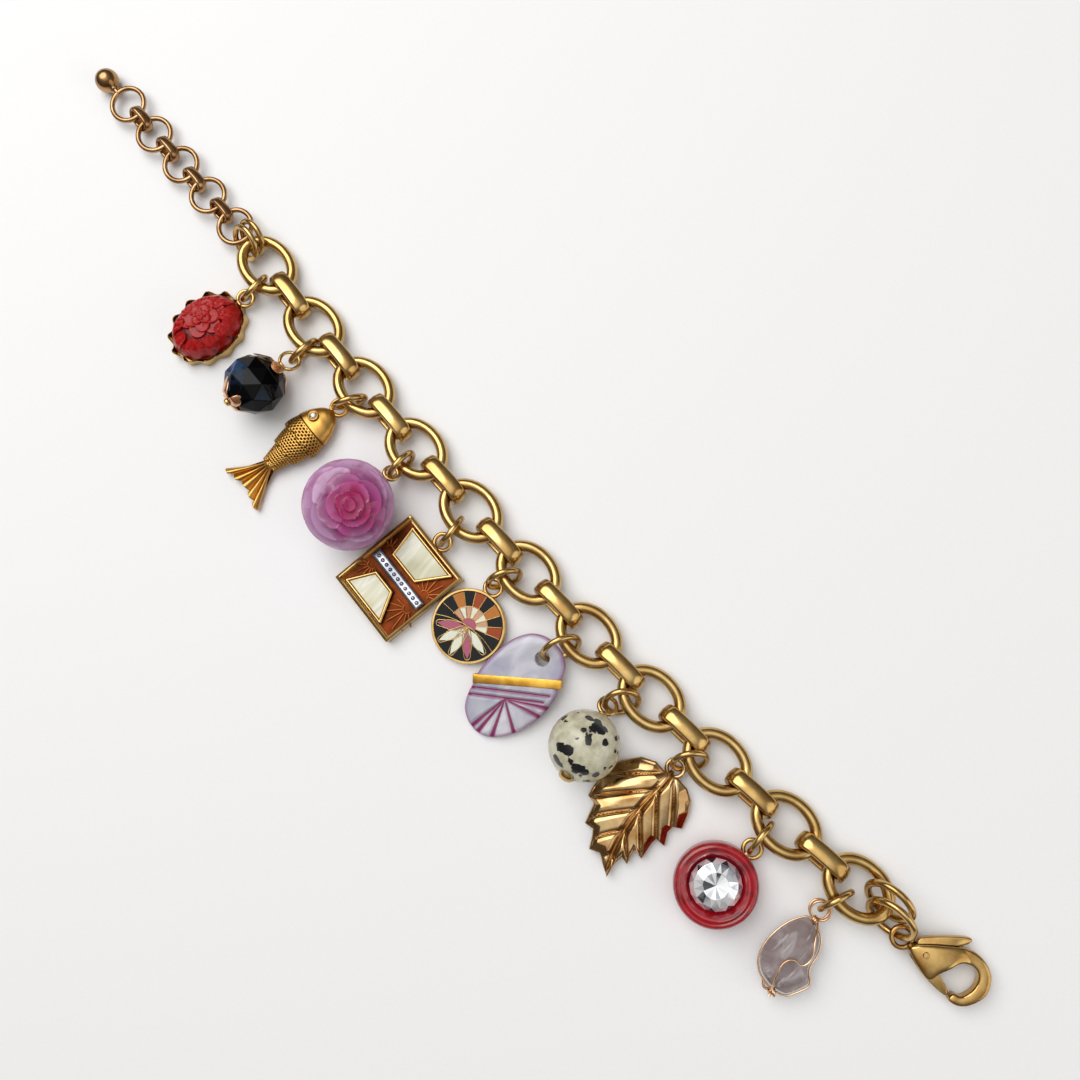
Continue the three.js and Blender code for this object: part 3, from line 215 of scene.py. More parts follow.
def tint(obj, name, values, domain="POINT"):
    """Store one number for each corner or face, for a material to read."""
    attribute = obj.data.attributes.new(name, "FLOAT", domain)
    attribute.data.foreach_set("value", np.asarray(values, dtype=float))


def join(name, *parts):
    """Make one object of several."""
    bpy.ops.object.select_all(action="DESELECT")
    for part in parts:
        part.select_set(True)
    bpy.context.view_layer.objects.active = parts[0]
    bpy.ops.object.join()
    return added(name)


def recalculate(obj):
    """Turn all faces outward."""
    edit(obj)
    bpy.ops.mesh.select_all(action="SELECT")
    bpy.ops.mesh.normals_make_consistent(inside=False)
    return done(obj)


def wire(name, points, width, closed=False, sides=6):
    """Round wire along points, as a mesh."""
    curve = bpy.data.curves.new(name, "CURVE")
    curve.dimensions = "3D"
    curve.bevel_depth = width / 2
    curve.bevel_resolution = sides
    curve.use_fill_caps = not closed
    spline = curve.splines.new("BEZIER")
    spline.bezier_points.add(len(points) - 1)
    for knot, place in zip(spline.bezier_points, points):
        knot.co = place
        knot.handle_left_type = knot.handle_right_type = "AUTO"
    spline.use_cyclic_u = closed
    spline.resolution_u = 10
    obj = bpy.data.objects.new(name, curve)
    bpy.context.collection.objects.link(obj)
    only(obj)
    bpy.ops.object.convert(target="MESH")
    return smooth(added(name), 60)


def hoop(name, inside, width, length=None, squash=1.0, sides=7):
    """A closed ring of round wire with a fine seam where its ends meet."""
    radius = (inside + width) / 2
    long = radius if length is None else (length - width) / 2
    bpy.ops.curve.primitive_bezier_circle_add(radius=1)
    obj = bpy.context.view_layer.objects.active
    obj.scale = (long, radius, 1)
    bpy.ops.object.transform_apply(location=False, rotation=False, scale=True)
    for knot in obj.data.splines[0].bezier_points:
        knot.radius = 1
    obj.data.resolution_u = 16
    obj.data.bevel_depth = width / 2
    obj.data.bevel_resolution = sides
    bpy.ops.object.convert(target="MESH")
    obj = added(name)
    edit(obj)
    bpy.ops.mesh.select_all(action="SELECT")
    bpy.ops.mesh.remove_doubles(threshold=0.001)
    bpy.ops.mesh.normals_make_consistent(inside=False)
    seam = max(vert.co.y for vert in bmesh.from_edit_mesh(obj.data).verts)
    pick(obj, lambda vert: abs(vert.co.x) < 0.02 and vert.co.y > seam - 1.05 * width)
    bpy.ops.transform.shrink_fatten(value=-0.03)
    done(obj)
    reshape(obj, lambda co: co * [1, 1, squash])
    return smooth(obj, 60)


def slab(name, outline, low, high, bevel=0.0, segments=3):
    """A flat piece with that outline, raised from low to high, its edges rounded."""
    mesh = bpy.data.meshes.new(name)
    mesh.from_pydata([(x, y, low) for x, y in outline], [], [range(len(outline))])
    obj = bpy.data.objects.new(name, mesh)
    bpy.context.collection.objects.link(obj)
    edit(obj)
    bpy.ops.mesh.select_all(action="SELECT")
    bpy.ops.mesh.extrude_region_move(TRANSFORM_OT_translate={"value": (0, 0, high - low)})
    bpy.ops.mesh.select_all(action="SELECT")
    bpy.ops.mesh.normals_make_consistent(inside=False)
    done(obj)
    if bevel:
        round_edges(obj, bevel, segments, 40)
    return smooth(obj, 35)


def block(name, size, place=(0, 0, 0), bevel=0.1):
    """A bar with rounded edges."""
    bpy.ops.mesh.primitive_cube_add(size=1, location=place)
    obj = added(name)
    obj.scale = size
    bpy.ops.object.transform_apply(location=True, rotation=False, scale=True)
    finish_with(obj, "BEVEL", width=bevel, segments=3)
    return smooth(obj)


def turned(name, profile, segments=64):
    """A round piece spun about Z from a profile of [radius, height] rows."""
    mesh = bpy.data.meshes.new(name)
    mesh.from_pydata([(radius, 0, height) for radius, height in profile],
                     [(i, i + 1) for i in range(len(profile) - 1)], [])
    obj = bpy.data.objects.new(name, mesh)
    bpy.context.collection.objects.link(obj)
    edit(obj)
    bpy.ops.mesh.select_all(action="SELECT")
    bpy.ops.mesh.spin(steps=segments, angle=2 * math.pi, center=(0, 0, 0), axis=(0, 0, 1))
    bpy.ops.mesh.select_all(action="SELECT")
    bpy.ops.mesh.remove_doubles(threshold=0.0005)
    bpy.ops.mesh.normals_make_consistent(inside=False)
    done(obj)
    return smooth(obj, 35)


def ball(name, segments, rings):
    """A round ball of radius 1."""
    bpy.ops.mesh.primitive_uv_sphere_add(segments=segments, ring_count=rings, radius=1)
    return smooth(added(name), 180)


def move(obj, place=(0, 0, 0), turn=(0, 0, 0), scale=(1, 1, 1)):
    """Shift, turn (degrees) and scale a piece while it is still at the origin."""
    only(obj)
    obj.location = place
    obj.rotation_euler = [math.radians(angle) for angle in turn]
    obj.scale = scale
    bpy.ops.object.transform_apply(location=True, rotation=True, scale=True)
    return obj


def twin(obj, name):
    """A copy with its own mesh."""
    only(obj)
    bpy.ops.object.duplicate()
    return added(name)


def settle(obj, name, place, material, nodes=(), body=BODY):
    """Lay a modelled piece in its place on a body, in its material."""
    obj.name = name
    obj.data.name = name
    only(obj)
    obj.matrix_world = place
    bpy.ops.object.transform_apply(location=True, rotation=True, scale=True)
    if material:
        obj.data.materials.clear()
        obj.data.materials.append(material)
    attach(obj, body)
    if nodes:
        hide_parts(*nodes)
    return obj


def scrap(obj):
    """Remove a model or a cutter that is no longer needed."""
    bpy.data.objects.remove(obj, do_unlink=True)


# Materials


def linear(colour):
    """An sRGB hex colour as linear numbers."""
    parts = [int(colour[i:i + 2], 16) / 255 for i in (1, 3, 5)]
    return [part / 12.92 if part <= 0.04045 else ((part + 0.055) / 1.055) ** 2.4 for part in parts] + [1]


def node(tree, kind, settings=None, **links):
    """Add a node, set its properties and input values, and link its inputs."""
    made = tree.nodes.new("ShaderNode" + kind)
    for key, value in (settings or {}).items():
        if isinstance(key, str) and hasattr(made, key):
            setattr(made, key, value)
        else:
            made.inputs[key].default_value = value
    for key, source in links.items():
        tree.links.new(source, made.inputs[int(key[1:]) if key[0] == "_" else key])
    return made


def surface(name, **settings):
    """A material with its shader, its coordinates in millimetres and its tree."""
    material = bpy.data.materials.new(name)
    material.use_nodes = True
    tree = material.node_tree
    shader = tree.nodes["Principled BSDF"]
    for key, value in settings.items():
        shader.inputs[key.replace("_", " ")].default_value = value
    coordinates = node(tree, "TexCoord")
    mapping = node(tree, "Mapping", {"Scale": (1000, 1000, 1000)}, Vector=coordinates.outputs["Object"])
    return material, tree, shader, mapping.outputs[0]


def ramp(tree, source, *stops):
    """Colours or greys along a 0 to 1 value."""
    made = node(tree, "ValToRGB", _0=source)
    elements = made.color_ramp.elements
    while len(elements) < len(stops):
        elements.new(0.5)
    for element, (place, colour) in zip(elements, stops):
        element.position = place
        element.color = linear(colour) if isinstance(colour, str) else [colour] * 3 + [1]
    return made.outputs["Color"]


def polished_gold(name, colour, shade, roughness=0.2, wear=0.5):
    """Plated brass, tumbled and buffed: a soft mirror with faint scratches and a darker tone in patches."""
    material, tree, shader, place = surface(name, Metallic=1.0)
    cloud = node(tree, "TexNoise", {"Scale": 0.35, "Detail": 3.0}, Vector=place)
    tone = ramp(tree, cloud.outputs["Fac"], (0.35, shade), (0.65, colour))
    tree.links.new(tone, shader.inputs["Base Color"])
    fine = node(tree, "TexNoise", {"Scale": 3.0, "Detail": 4.0}, Vector=place)
    least, most = roughness * 0.75, roughness * 1.35
    rough = node(tree, "MapRange", {"To Min": least, "To Max": most}, Value=fine.outputs["Fac"])
    tree.links.new(rough.outputs["Result"], shader.inputs["Roughness"])
    bump = node(tree, "Bump", {"Strength": 0.06 * wear, "Distance": 0.00005}, Height=fine.outputs["Fac"])
    tree.links.new(bump.outputs["Normal"], shader.inputs["Normal"])
    return material


def gold():
    """The plated brass that most of the metal is made of."""
    made = bpy.data.materials.get("plated brass")
    return made or polished_gold("plated brass", *tones("gold", "gold_shade"))


def tones(*names):
    """Hex text of the colours that a user can change."""
    chosen = bpy.context.scene.bracelet_colours
    return ["#%02X%02X%02X" % tuple(round(255 * part) for part in getattr(chosen, name)) for name in names]


# Sizes and colours that a user can change


def size(label, text, default, least=0.05):
    """A length that a user can change."""
    return FloatProperty(name=label, description=text + ", in millimetres", default=default, min=least)


def colour(label, text, code):
    """A colour that a user can change."""
    return FloatVectorProperty(
        name=label, description=text, subtype="COLOR_GAMMA", size=3, min=0, max=1,
        default=[int(code[i:i + 2], 16) / 255 for i in (1, 3, 5)],
    )


class BraceletSizes(bpy.types.PropertyGroup):
    """Sizes of the chain and the charms."""

    link_length: size("Link length", "Length of a heavy link", 12.1)
    link_width: size("Link width", "Width of a heavy link", 9.5)
    link_wire: size("Link wire", "Thickness of a heavy link", 1.9)
    band: size("Connector width", "Width of a connector's band", 2.75)
    band_wall: size("Connector wall", "Thickness of a connector's band", 0.7)
    connector_length: size("Connector length", "Length of a connector", 8.9)
    connector_height: size("Connector height", "Height of a connector on edge", 4.5)
    jump_inside: size("Jump ring", "Inside width of a jump ring", 4.4)
    jump_wire: size("Jump ring wire", "Thickness of a jump ring", 1.0)
    eye_inside: size("Eye", "Inside width of a charm's eye", 2.1)
    eye_wire: size("Eye wire", "Thickness of a charm's eye", 0.7)
    coral_length: size("Coral length", "Length of the carved coral", 13.2)
    coral_width: size("Coral width", "Width of the carved coral", 10.2)
    rose_width: size("Rose bead", "Width of the carved rose bead", 15.2)
    jasper_width: size("Spotted bead", "Width of the spotted bead", 11.3)
    button_width: size("Button", "Width of the red button", 13.2)
    stone_width: size("Clear stone", "Width of the clear stone", 8.2)


class BraceletColours(bpy.types.PropertyGroup):
    """Colours of the metal, the resins and the table."""

    gold: colour("Gold", "Plated brass", "#CFAE70")
    gold_shade: colour("Gold shade", "Plated brass where it has dulled", "#B58F54")
    coral: colour("Coral", "Carved red resin", "#A81210")
    rose: colour("Rose", "Pink carved resin", "#A05C88")
    rose_heart: colour("Rose heart", "Middle of the carved rose", "#A82060")
    red: colour("Button red", "Pearly red resin", "#9E0A18")
    floor: colour("Table", "The table top", "#F4F4F4")
    floor_grain: colour("Table grain", "The faint grain of the table top", "#F2F2F2")


class BraceletPiece:
    """What the operators share: each makes its pieces from the sizes."""

    bl_options = {"REGISTER", "UNDO"}

    def execute(self, context):
        self.make(context.scene.bracelet_sizes)
        return {"FINISHED"}


# Chain


class BRACELET_OT_links(BraceletPiece, bpy.types.Operator):
    """Make the heavy oval links"""

    bl_idname = "bracelet.links"
    bl_label = "Heavy links"

    def make(self, sizes):
        inside = sizes.link_width - 2 * sizes.link_wire
        model = hoop("link", inside, sizes.link_wire, sizes.link_length, 1.05, 10)
        for index in range(1, 12):
            name = f"big_link_{index}"
            settle(twin(model, name), f"link_{index}", ring_place(name), gold(), [name])
        scrap(model)


def oval_band(name, length, height, width, wall, crown, arch=0.0):
    """A band bent round into a long loop that stands on edge, its outside softly crowned."""
    half = (height - wall) / 2
    bpy.ops.mesh.primitive_cylinder_add(
        vertices=64, radius=half, depth=width, end_fill_type="NOTHING", rotation=(math.pi / 2, 0, 0),
    )
    obj = added(name)
    bpy.ops.object.transform_apply(location=True, rotation=True, scale=True)
    edit(obj)
    bpy.ops.mesh.select_all(action="SELECT")
    bpy.ops.mesh.subdivide(number_cuts=1)
    done(obj)
    reach = (length - height) / 2

    def stretched(co):
        side = np.sin(np.clip(co[:, 0] / half * 1.6, -1, 1) * math.pi / 2)
        co[:, 0] += side * reach
        return co

    recalculate(reshape(obj, stretched))
    finish_with(obj, "SOLIDIFY", thickness=wall, offset=0)
    round_edges(obj, wall * 0.42, 3, 50)

    def crowned(co):
        centre = np.clip(co[:, 0], -reach, reach)
        out = np.stack([co[:, 0] - centre, co[:, 2]], 1)
        far = np.linalg.norm(out, axis=1)
        lift = np.where(far > half, crown * (1 - (2 * co[:, 1] / width) ** 2), 0)
        co[:, [0, 2]] += out / far[:, None] * lift[:, None]
        co[:, 2] *= 1 + arch * (0.5 - (2 * co[:, 0] / length) ** 2)
        return co

    reshape(obj, crowned)
    return smooth(obj, 50)


class BRACELET_OT_connectors(BraceletPiece, bpy.types.Operator):
    """Make the broad connectors between the links"""

    bl_idname = "bracelet.connectors"
    bl_label = "Connectors"

    def make(self, sizes):
        long, high = sizes.connector_length, sizes.connector_height
        model = oval_band("connector", long, high, sizes.band, sizes.band_wall, 0.3, 0.14)
        for index in range(1, 11):
            name = f"connector_{index}"
            settle(twin(model, name), f"band_{index}", upright_place(name), gold(), [name])
        scrap(model)


class BRACELET_OT_rings(BraceletPiece, bpy.types.Operator):
    """Make the jump rings of the charms, the clasp and the extension chain"""

    bl_idname = "bracelet.rings"
    bl_label = "Jump rings"

    def make(self, sizes):
        wide = {"jump_ring_shell": 5.2, "end_ring_1": 4.6, "end_ring_2": 4.6}
        wide.update({"clasp_ring_1": 6.2, "clasp_ring_2": 6.2})
        for name in frame["nodes"]:
            if "ring_" in name:
                thick = 1.15 if name.startswith("clasp") else sizes.jump_wire
                ring = hoop(name, wide.get(name, sizes.jump_inside), thick)
                settle(ring, "wire_" + name, ring_place(name), gold(), [name])


class BRACELET_OT_extension(BraceletPiece, bpy.types.Operator):
    """Make the extension chain with its end ball"""

    bl_idname = "bracelet.extension"
    bl_label = "Extension chain"

    def make(self, sizes):
        corners = corners_of("extension_chain")
        turn = math.radians(176.5)
        along = np.array([math.cos(turn), math.sin(turn)])
        reach = corners[:, :2] @ along
        across = corners[:, :2] @ np.array([-along[1], along[0]])
        middle = (across.min() + across.max()) / 2
        pitch, radius, lift = 7.85, 3.45, 2.05
        first = reach.min() + radius
        worn = polished_gold("worn brass", "#B8946A", "#8E6840", 0.22)
        ring = hoop("small ring", 5.1, 0.9)
        band = oval_band("small band", 5.0, 3.1, 1.7, 0.6, 0.1)
        side = Vector((-along[1], along[0], 0))
        for index in range(5):
            here = Vector((*(along * (first + index * pitch) + side.xy * middle), lift))
            lean = Vector((0, 0, 1)) + side * 0.06 * (-1) ** index
            place = matrix_from(side.cross(lean), -side, -lean, here)
            settle(twin(ring, "ring"), f"extension_ring_{index + 1}", place, worn,
                   ["extension_chain"] if index == 0 else ())
            if index:
                here = Vector((*(along * (first + (index - 0.5) * pitch) + side.xy * middle), lift))
                tall = Vector((0, 0, math.cos(math.radians(35)))) - side * math.sin(math.radians(35))
                place = matrix_from((*along, 0), tall.cross(Vector((*along, 0))), tall, here)
                settle(twin(band, "band"), f"extension_band_{index}", place, worn)
        scrap(ring)
        scrap(band)
        end = first + 4 * pitch + radius
        profile = [[0, 2.15], [0.75, 2.02], [1.42, 1.62], [1.9, 1.02], [2.13, 0.3], [2.13, -0.3], [1.9, -1.02],
                   [1.42, -1.62], [0.8, -2.0], [0.72, -2.05], [0.62, -2.2], [0.85, -2.3], [0.85, -2.5],
                   [0.5, -2.62], [0.45, -3.4], [0, -3.4]]
        knob = finish_with(turned("end ball", profile, 48), "SUBSURF", levels=1, render_levels=1)
        here = Vector((*(along * (end + 0.6 + 2.15) + side.xy * middle), 2.15))
        settle(smooth(knob, 60), "end_ball", matrix_from(side, (0, 0, 1), (*along, 0), here), worn)


# Charms


def along_outline(rows, count, smoothing=False):
    """Evenly spaced points round a closed outline."""
    rows = np.array(rows, dtype=float)
    if smoothing:
        before, after, later = np.roll(rows, 1, 0), np.roll(rows, -1, 0), np.roll(rows, -2, 0)
        t = np.linspace(0, 1, 12, endpoint=False)[:, None, None]
        rows = 0.5 * (2 * rows + (after - before) * t + (2 * before - 5 * rows + 4 * after - later) * t ** 2
                      + (3 * rows - before - 3 * after + later) * t ** 3)
        rows = rows.transpose(1, 0, 2).reshape(-1, 2)
    steps = np.linalg.norm(np.roll(rows, -1, 0) - rows, axis=1)
    marks = np.concatenate([[0], np.cumsum(steps)])
    ends = np.vstack([rows, rows[:1]])
    at = np.linspace(0, marks[-1], count, endpoint=False)
    return np.stack([np.interp(at, marks, ends[:, 0]), np.interp(at, marks, ends[:, 1])], 1)


def cushion(name, outline, centre, rings, top, low, edge=6):
    """A closed body with that outline, modelled from a sphere, whose halves follow top and low."""
    count = len(outline)
    obj = ball(name, count, 2 * rings)

    def laid(co):
        angle = np.arctan2(co[:, 1], co[:, 0]) % (2 * math.pi)
        index = np.rint(angle / (2 * math.pi) * count).astype(int) % count
        share = np.arccos(np.clip(np.abs(co[:, 2]), 0, 1)) / (math.pi / 2)
        spot = centre + (outline[index] - centre) * share[:, None]
        up, down = top(spot[:, 0], spot[:, 1], share, index), low(spot[:, 0], spot[:, 1], share, index)
        middle = (up + down) / 2
        fullness = np.sqrt(np.clip(1 - share ** edge, 0, 1))
        half = np.sign(co[:, 2]) * np.where(np.abs(co[:, 2]) < 1e-6, 0, 1)
        height = middle + half * (up - down) / 2 * fullness
        return np.stack([spot[:, 0], spot[:, 1], height], 1)

    reshape(obj, laid)
    obj = recalculate(obj)
    return smooth(obj, 70)


def lobes(x, y, rows):
    """Height of petals that lie over each other: rows of [x, y, reach, height, cup]."""
    height = np.zeros_like(x)
    for px, py, reach, level, cup in rows:
        away = np.hypot(x - px, y - py) / reach
        petal = level + cup * away ** 2
        height = np.where((away < 1) & (petal > height), petal, height)
    return height


def ring_of(count, radius, reach, level, cup, phase):
    """Rows of petals, evenly spaced round a circle."""
    turns = [phase + 2 * math.pi * i / count for i in range(count)]
    return [(radius * math.cos(turn), radius * math.sin(turn), reach, level, cup) for turn in turns]


def eye_ring(inside, width, height):
    """A flat wire eye whose top crosses the charm's origin."""
    return move(hoop("eye", inside, width), (0, -(inside + width) / 2, height))


def lacquer_red(name, bright, dark, rough):
    """Moulded red resin with carving, wet looking, with painted shade: deep red in the cuts and brighter on the
    raised tops.
    """
    material, tree, shader, place = surface(name, Roughness=rough, Specular_IOR_Level=0.25, Coat_Weight=0.2,
                                            Coat_Roughness=0.03)
    # Painted shade: the carving's height darkens the cuts and brightens the raised tops.
    shade_relief = node(tree, "Attribute", {"attribute_name": "shade_relief"})
    cloud = node(tree, "TexNoise", {"Scale": 0.8, "Detail": 4.0}, Vector=place)
    mixed = node(tree, "Math", {"operation": "MULTIPLY_ADD", 1: 0.35}, _0=cloud.outputs["Fac"],
                 _2=shade_relief.outputs["Fac"])
    tree.links.new(ramp(tree, mixed.outputs[0], (0.12, dark), (0.55, bright)), shader.inputs["Base Color"])
    fine = node(tree, "TexNoise", {"Scale": 1.6, "Detail": 4.0}, Vector=place)
    bump = node(tree, "Bump", {"Strength": 0.5, "Distance": 0.0002}, Height=fine.outputs["Fac"])
    tree.links.new(bump.outputs["Normal"], shader.inputs["Normal"])
    return material


class BRACELET_OT_coral(BraceletPiece, bpy.types.Operator):
    """Make the carved coral in its scalloped setting"""

    bl_idname = "bracelet.coral"
    bl_label = "Carved coral"

    def make(self, sizes):
        place = flat_place("coral_setting", -8)
        half_x, half_y = sizes.coral_width / 2, sizes.coral_length / 2
        middle = -BELOW_EYE - half_y - 0.5
        angles = np.linspace(0, 2 * math.pi, 144, endpoint=False)
        dip = np.abs(np.cos(6 * angles)) ** 2.2
        outer = 0.28 + 0.5 * dip
        rim = [((half_x + grow) * math.cos(angle), middle + (half_y + grow) * math.sin(angle))
               for angle, grow in zip(angles, outer)]
        setting = slab("setting", rim, 0.0, 1.6)
        edit(setting)
        pick(setting, lambda face: face.normal.z > 0.9, "FACE")
        bpy.ops.mesh.inset(thickness=0.2, depth=0.0)
        bpy.ops.mesh.extrude_region_move(TRANSFORM_OT_translate={"value": (0, 0, -1.0)})
        done(setting)

        def flared(co):
            angle = np.arctan2((co[:, 1] - middle) / half_y, co[:, 0] / half_x)
            tip = np.abs(np.cos(6 * angle)) ** 2.2
            co[:, 2] = np.where(co[:, 2] > 1.2, co[:, 2] + 0.9 * tip, co[:, 2])
            return co

        reshape(setting, flared)
        round_edges(setting, 0.09, 2, 40)
        smooth(setting, 50)
        eye = eye_ring(sizes.eye_inside, sizes.eye_wire, EYE_LIE)
        settle(join("setting", setting, eye), "coral_rim", place, gold(), ["coral_setting"])

        heart = (-0.9, 0.9)
        petals = []
        for count, radius, reach, level, cup, phase in (
            (6, 2.5, 1.5, 0.2, 0.3, 0.2), (5, 1.75, 1.3, 0.38, 0.3, 0.8), (4, 1.0, 0.95, 0.52, 0.26, 0.3),
            (3, 0.45, 0.6, 0.62, 0.2, 1.2),
        ):
            petals += ring_of(count, radius, reach, level, cup, phase)
        leaves = ring_of(11, 4.6, 1.15, 0.16, 0.18, 0.1) + ring_of(9, 3.6, 1.05, 0.28, 0.16, 0.5)
        buds = [(2.9, -2.6, 1.15, 0.42, 0.1), (3.3, -1.9, 0.5, 0.62, 0.08), (2.5, -2.9, 0.45, 0.62, 0.08),
                (-2.6, -3.6, 1.1, 0.4, 0.1), (-2.9, -3.3, 0.45, 0.6, 0.08), (-2.1, -3.9, 0.4, 0.6, 0.08),
                (2.8, 3.4, 1.1, 0.38, 0.1), (2.6, 3.8, 0.42, 0.56, 0.08)]

        def carving(x, y):
            flower = lobes(x - heart[0], y - middle - heart[1], petals)
            around = lobes(x, (y - middle) / 1.25, leaves + buds)
            turn = np.arctan2(y - middle - heart[1], x - heart[0])
            ribs = 0.2 * np.abs(np.sin(17 * turn + 0.8 * np.hypot(x, y - middle)))
            return np.maximum(flower, around + ribs * (around > 0.1))

        def top(x, y, share, index):
            dome = 1.9 + 2.7 * np.sqrt(np.clip(1 - 0.93 * share ** 2.2, 0, 1))
            return dome + carving(x, y) * np.clip(6 * (1 - share), 0, 1)

        angles = np.linspace(0, 2 * math.pi, 220, endpoint=False)
        ellipse = np.stack([half_x * np.cos(angles), middle + half_y * np.sin(angles)], 1)
        stone = cushion("stone", ellipse, np.array([0, middle]), 70, top, lambda x, y, s, i: 0.75 + 0 * x, 14)
        co = points_of(stone)
        # Painted shade: the carving's height on the dome is stored so the resin can darken the cuts towards
        # #5E0A0A.
        tint(stone, "shade_relief", carving(co[:, 0], co[:, 1]) * (co[:, 2] > 1.5))
        red = lacquer_red("carved red resin", *tones("coral"), "#5E0A0A", 0.34)
        settle(stone, "coral_carving", place, red, ["coral_stone"])


def black_glass():
    """Cut black glass: a near-black body with painted bluish reflections on some facets, strongest on those that
    face the light.
    """
    material, tree, shader, place = surface("cut black glass", Roughness=0.03, IOR=1.5, Specular_IOR_Level=0.14)
    # Painted reflection: each facet's stored value turns its colour blue-grey.
    facet = node(tree, "Attribute", {"attribute_name": "facet"})
    cloud = node(tree, "TexNoise", {"Scale": 0.6, "Detail": 3.0}, Vector=place)
    patch = node(tree, "Math", {"operation": "MULTIPLY"}, _0=cloud.outputs["Fac"], _1=facet.outputs["Fac"])
    tree.links.new(ramp(tree, patch.outputs[0], (0.1, "#020204"), (0.5, "#2E4460"), (0.8, "#5A7490")),
                   shader.inputs["Base Color"])
    fine = node(tree, "TexNoise", {"Scale": 1.5, "Detail": 2.0}, Vector=place)
    bump = node(tree, "Bump", {"Strength": 0.08, "Distance": 0.0001}, Height=fine.outputs["Fac"])
    tree.links.new(bump.outputs["Normal"], shader.inputs["Normal"])
    return material


class BRACELET_OT_black_bead(BraceletPiece, bpy.types.Operator):
    """Make the cut black bead with its petal caps and wire eye"""

    bl_idname = "bracelet.black_bead"
    bl_label = "Black bead"

    def make(self, sizes):
        place = hang_place("black_bead", "black_bead_pin")
        rows = [(0.0, -0.97), (0.44, -0.9), (0.84, -0.52), (1.0, -0.02),
                (0.87, 0.5), (0.46, 0.9), (0.0, 0.97)]
        bead = turned("bead", [(5.3 * radius, 5.0 * height) for radius, height in rows], 9)

        def staggered(co):
            high = np.abs(co[:, 2])
            turn = np.where((high < 1) | (high > 4), math.pi / 9, 0)
            x = co[:, 0] * np.cos(turn) - co[:, 1] * np.sin(turn)
            y = co[:, 0] * np.sin(turn) + co[:, 1] * np.cos(turn)
            return np.stack([x, 0.89 * y, co[:, 2]], 1)

        reshape(bead, staggered)
        edit(bead)
        bpy.ops.mesh.select_all(action="SELECT")
        bpy.ops.mesh.quads_convert_to_tris(quad_method="SHORTEST_DIAGONAL")
        done(bead)
        round_edges(bead, 0.07, 1, 8)
        only(bead)
        bpy.ops.object.shade_flat()
        move(bead, turn=(-90, 0, 0))
        # Painted reflection: facets that face the light, and every ninth facet, get a blue-grey tone.
        lit = Vector((-0.62, -0.42, 0.66)).normalized()
        share = [max(0, face.normal.dot(lit) * 5 - 3.9) + (0.35 if face.index % 9 == 4 else 0)
                 for face in bead.data.polygons]
        tint(bead, "facet", share, "FACE")
        settle(bead, "black_cut_bead", place, black_glass(), ["black_bead"])

        def surface_at(radius):
            return np.interp(radius / 5.3, [0, 0.44, 0.84, 1.0], [4.85, 4.5, 2.6, 0.3])

        count = 128
        angle = np.linspace(0, 2 * math.pi, count, endpoint=False)
        reach = 1.0 + 3.3 * np.abs(np.cos(2 * angle)) ** 1.5
        outline = np.stack([reach * np.cos(angle), reach * np.sin(angle)], 1)
        cap = cushion("cap", outline, np.zeros(2), 14,
                      lambda x, y, s, i: surface_at(np.hypot(x, y)) + 0.62 - 0.12 * s,
                      lambda x, y, s, i: surface_at(np.hypot(x, y)) + 0.22, 10)
        reshape(cap, lambda co: co * [1, 0.9, 1])
        far_cap = move(twin(cap, "far cap"), turn=(90, 0, 0), scale=(0.85, 0.85, 1))
        far_cap = move(far_cap, turn=(0, 45, 0))
        near_cap = move(cap, turn=(-90, 0, 0))
        near_cap = move(near_cap, turn=(0, 20, 0))
        rose_gold = polished_gold("rose gold plate", "#E9BF9C", "#D9A27C", 0.24)
        caps = join("caps", near_cap, far_cap)
        settle(caps, "black_bead_caps", place, rose_gold, ["black_bead_pin"])
        eye = move(hoop("eye", 2.7, 0.6), (0, 5.0 + 0.8 + 1.65, 0))
        coil = [move(hoop("coil", 0.9, 0.5), (0, 5.35 + 0.42 * i, 0), (90, 0, 0)) for i in range(2)]
        stem = wire("stem", [(0, 4.6, 0), (0, 5.2, 0), (0, 6.1, 0)], 0.6)
        head = turned("head", [(0, 0.5), (0.5, 0.42), (0.72, 0.1), (0.72, 0), (0, 0)], 24)
        move(head, (0, -5.4, 0), (90, 0, 0))
        settle(join("wirework", eye, *coil, stem, head), "black_bead_wire", place, gold())


def antique_gold():
    """Brass with a dark wash left in its pits: matt and brownish in the cuts, bright on the raised metal."""
    material, tree, shader, place = surface("antiqued brass", Metallic=1.0, Roughness=0.34)
    pit = node(tree, "Attribute", {"attribute_name": "pit"})
    cloud = node(tree, "TexNoise", {"Scale": 0.6, "Detail": 3.0}, Vector=place)
    mixed = node(tree, "Math", {"operation": "MULTIPLY_ADD", 1: 0.2}, _0=cloud.outputs["Fac"],
                 _2=pit.outputs["Fac"])
    tree.links.new(ramp(tree, mixed.outputs[0], (0.06, "#C89A50"), (0.3, "#94682E"), (0.7, "#2E1A08")),
                   shader.inputs["Base Color"])
    rough = node(tree, "MapRange", {"To Min": 0.26, "To Max": 0.6}, Value=mixed.outputs[0])
    tree.links.new(rough.outputs["Result"], shader.inputs["Roughness"])
    fine = node(tree, "TexNoise", {"Scale": 4.0, "Detail": 3.0}, Vector=place)
    bump = node(tree, "Bump", {"Strength": 0.12, "Distance": 0.0001}, Height=fine.outputs["Fac"])
    tree.links.new(bump.outputs["Normal"], shader.inputs["Normal"])
    return material


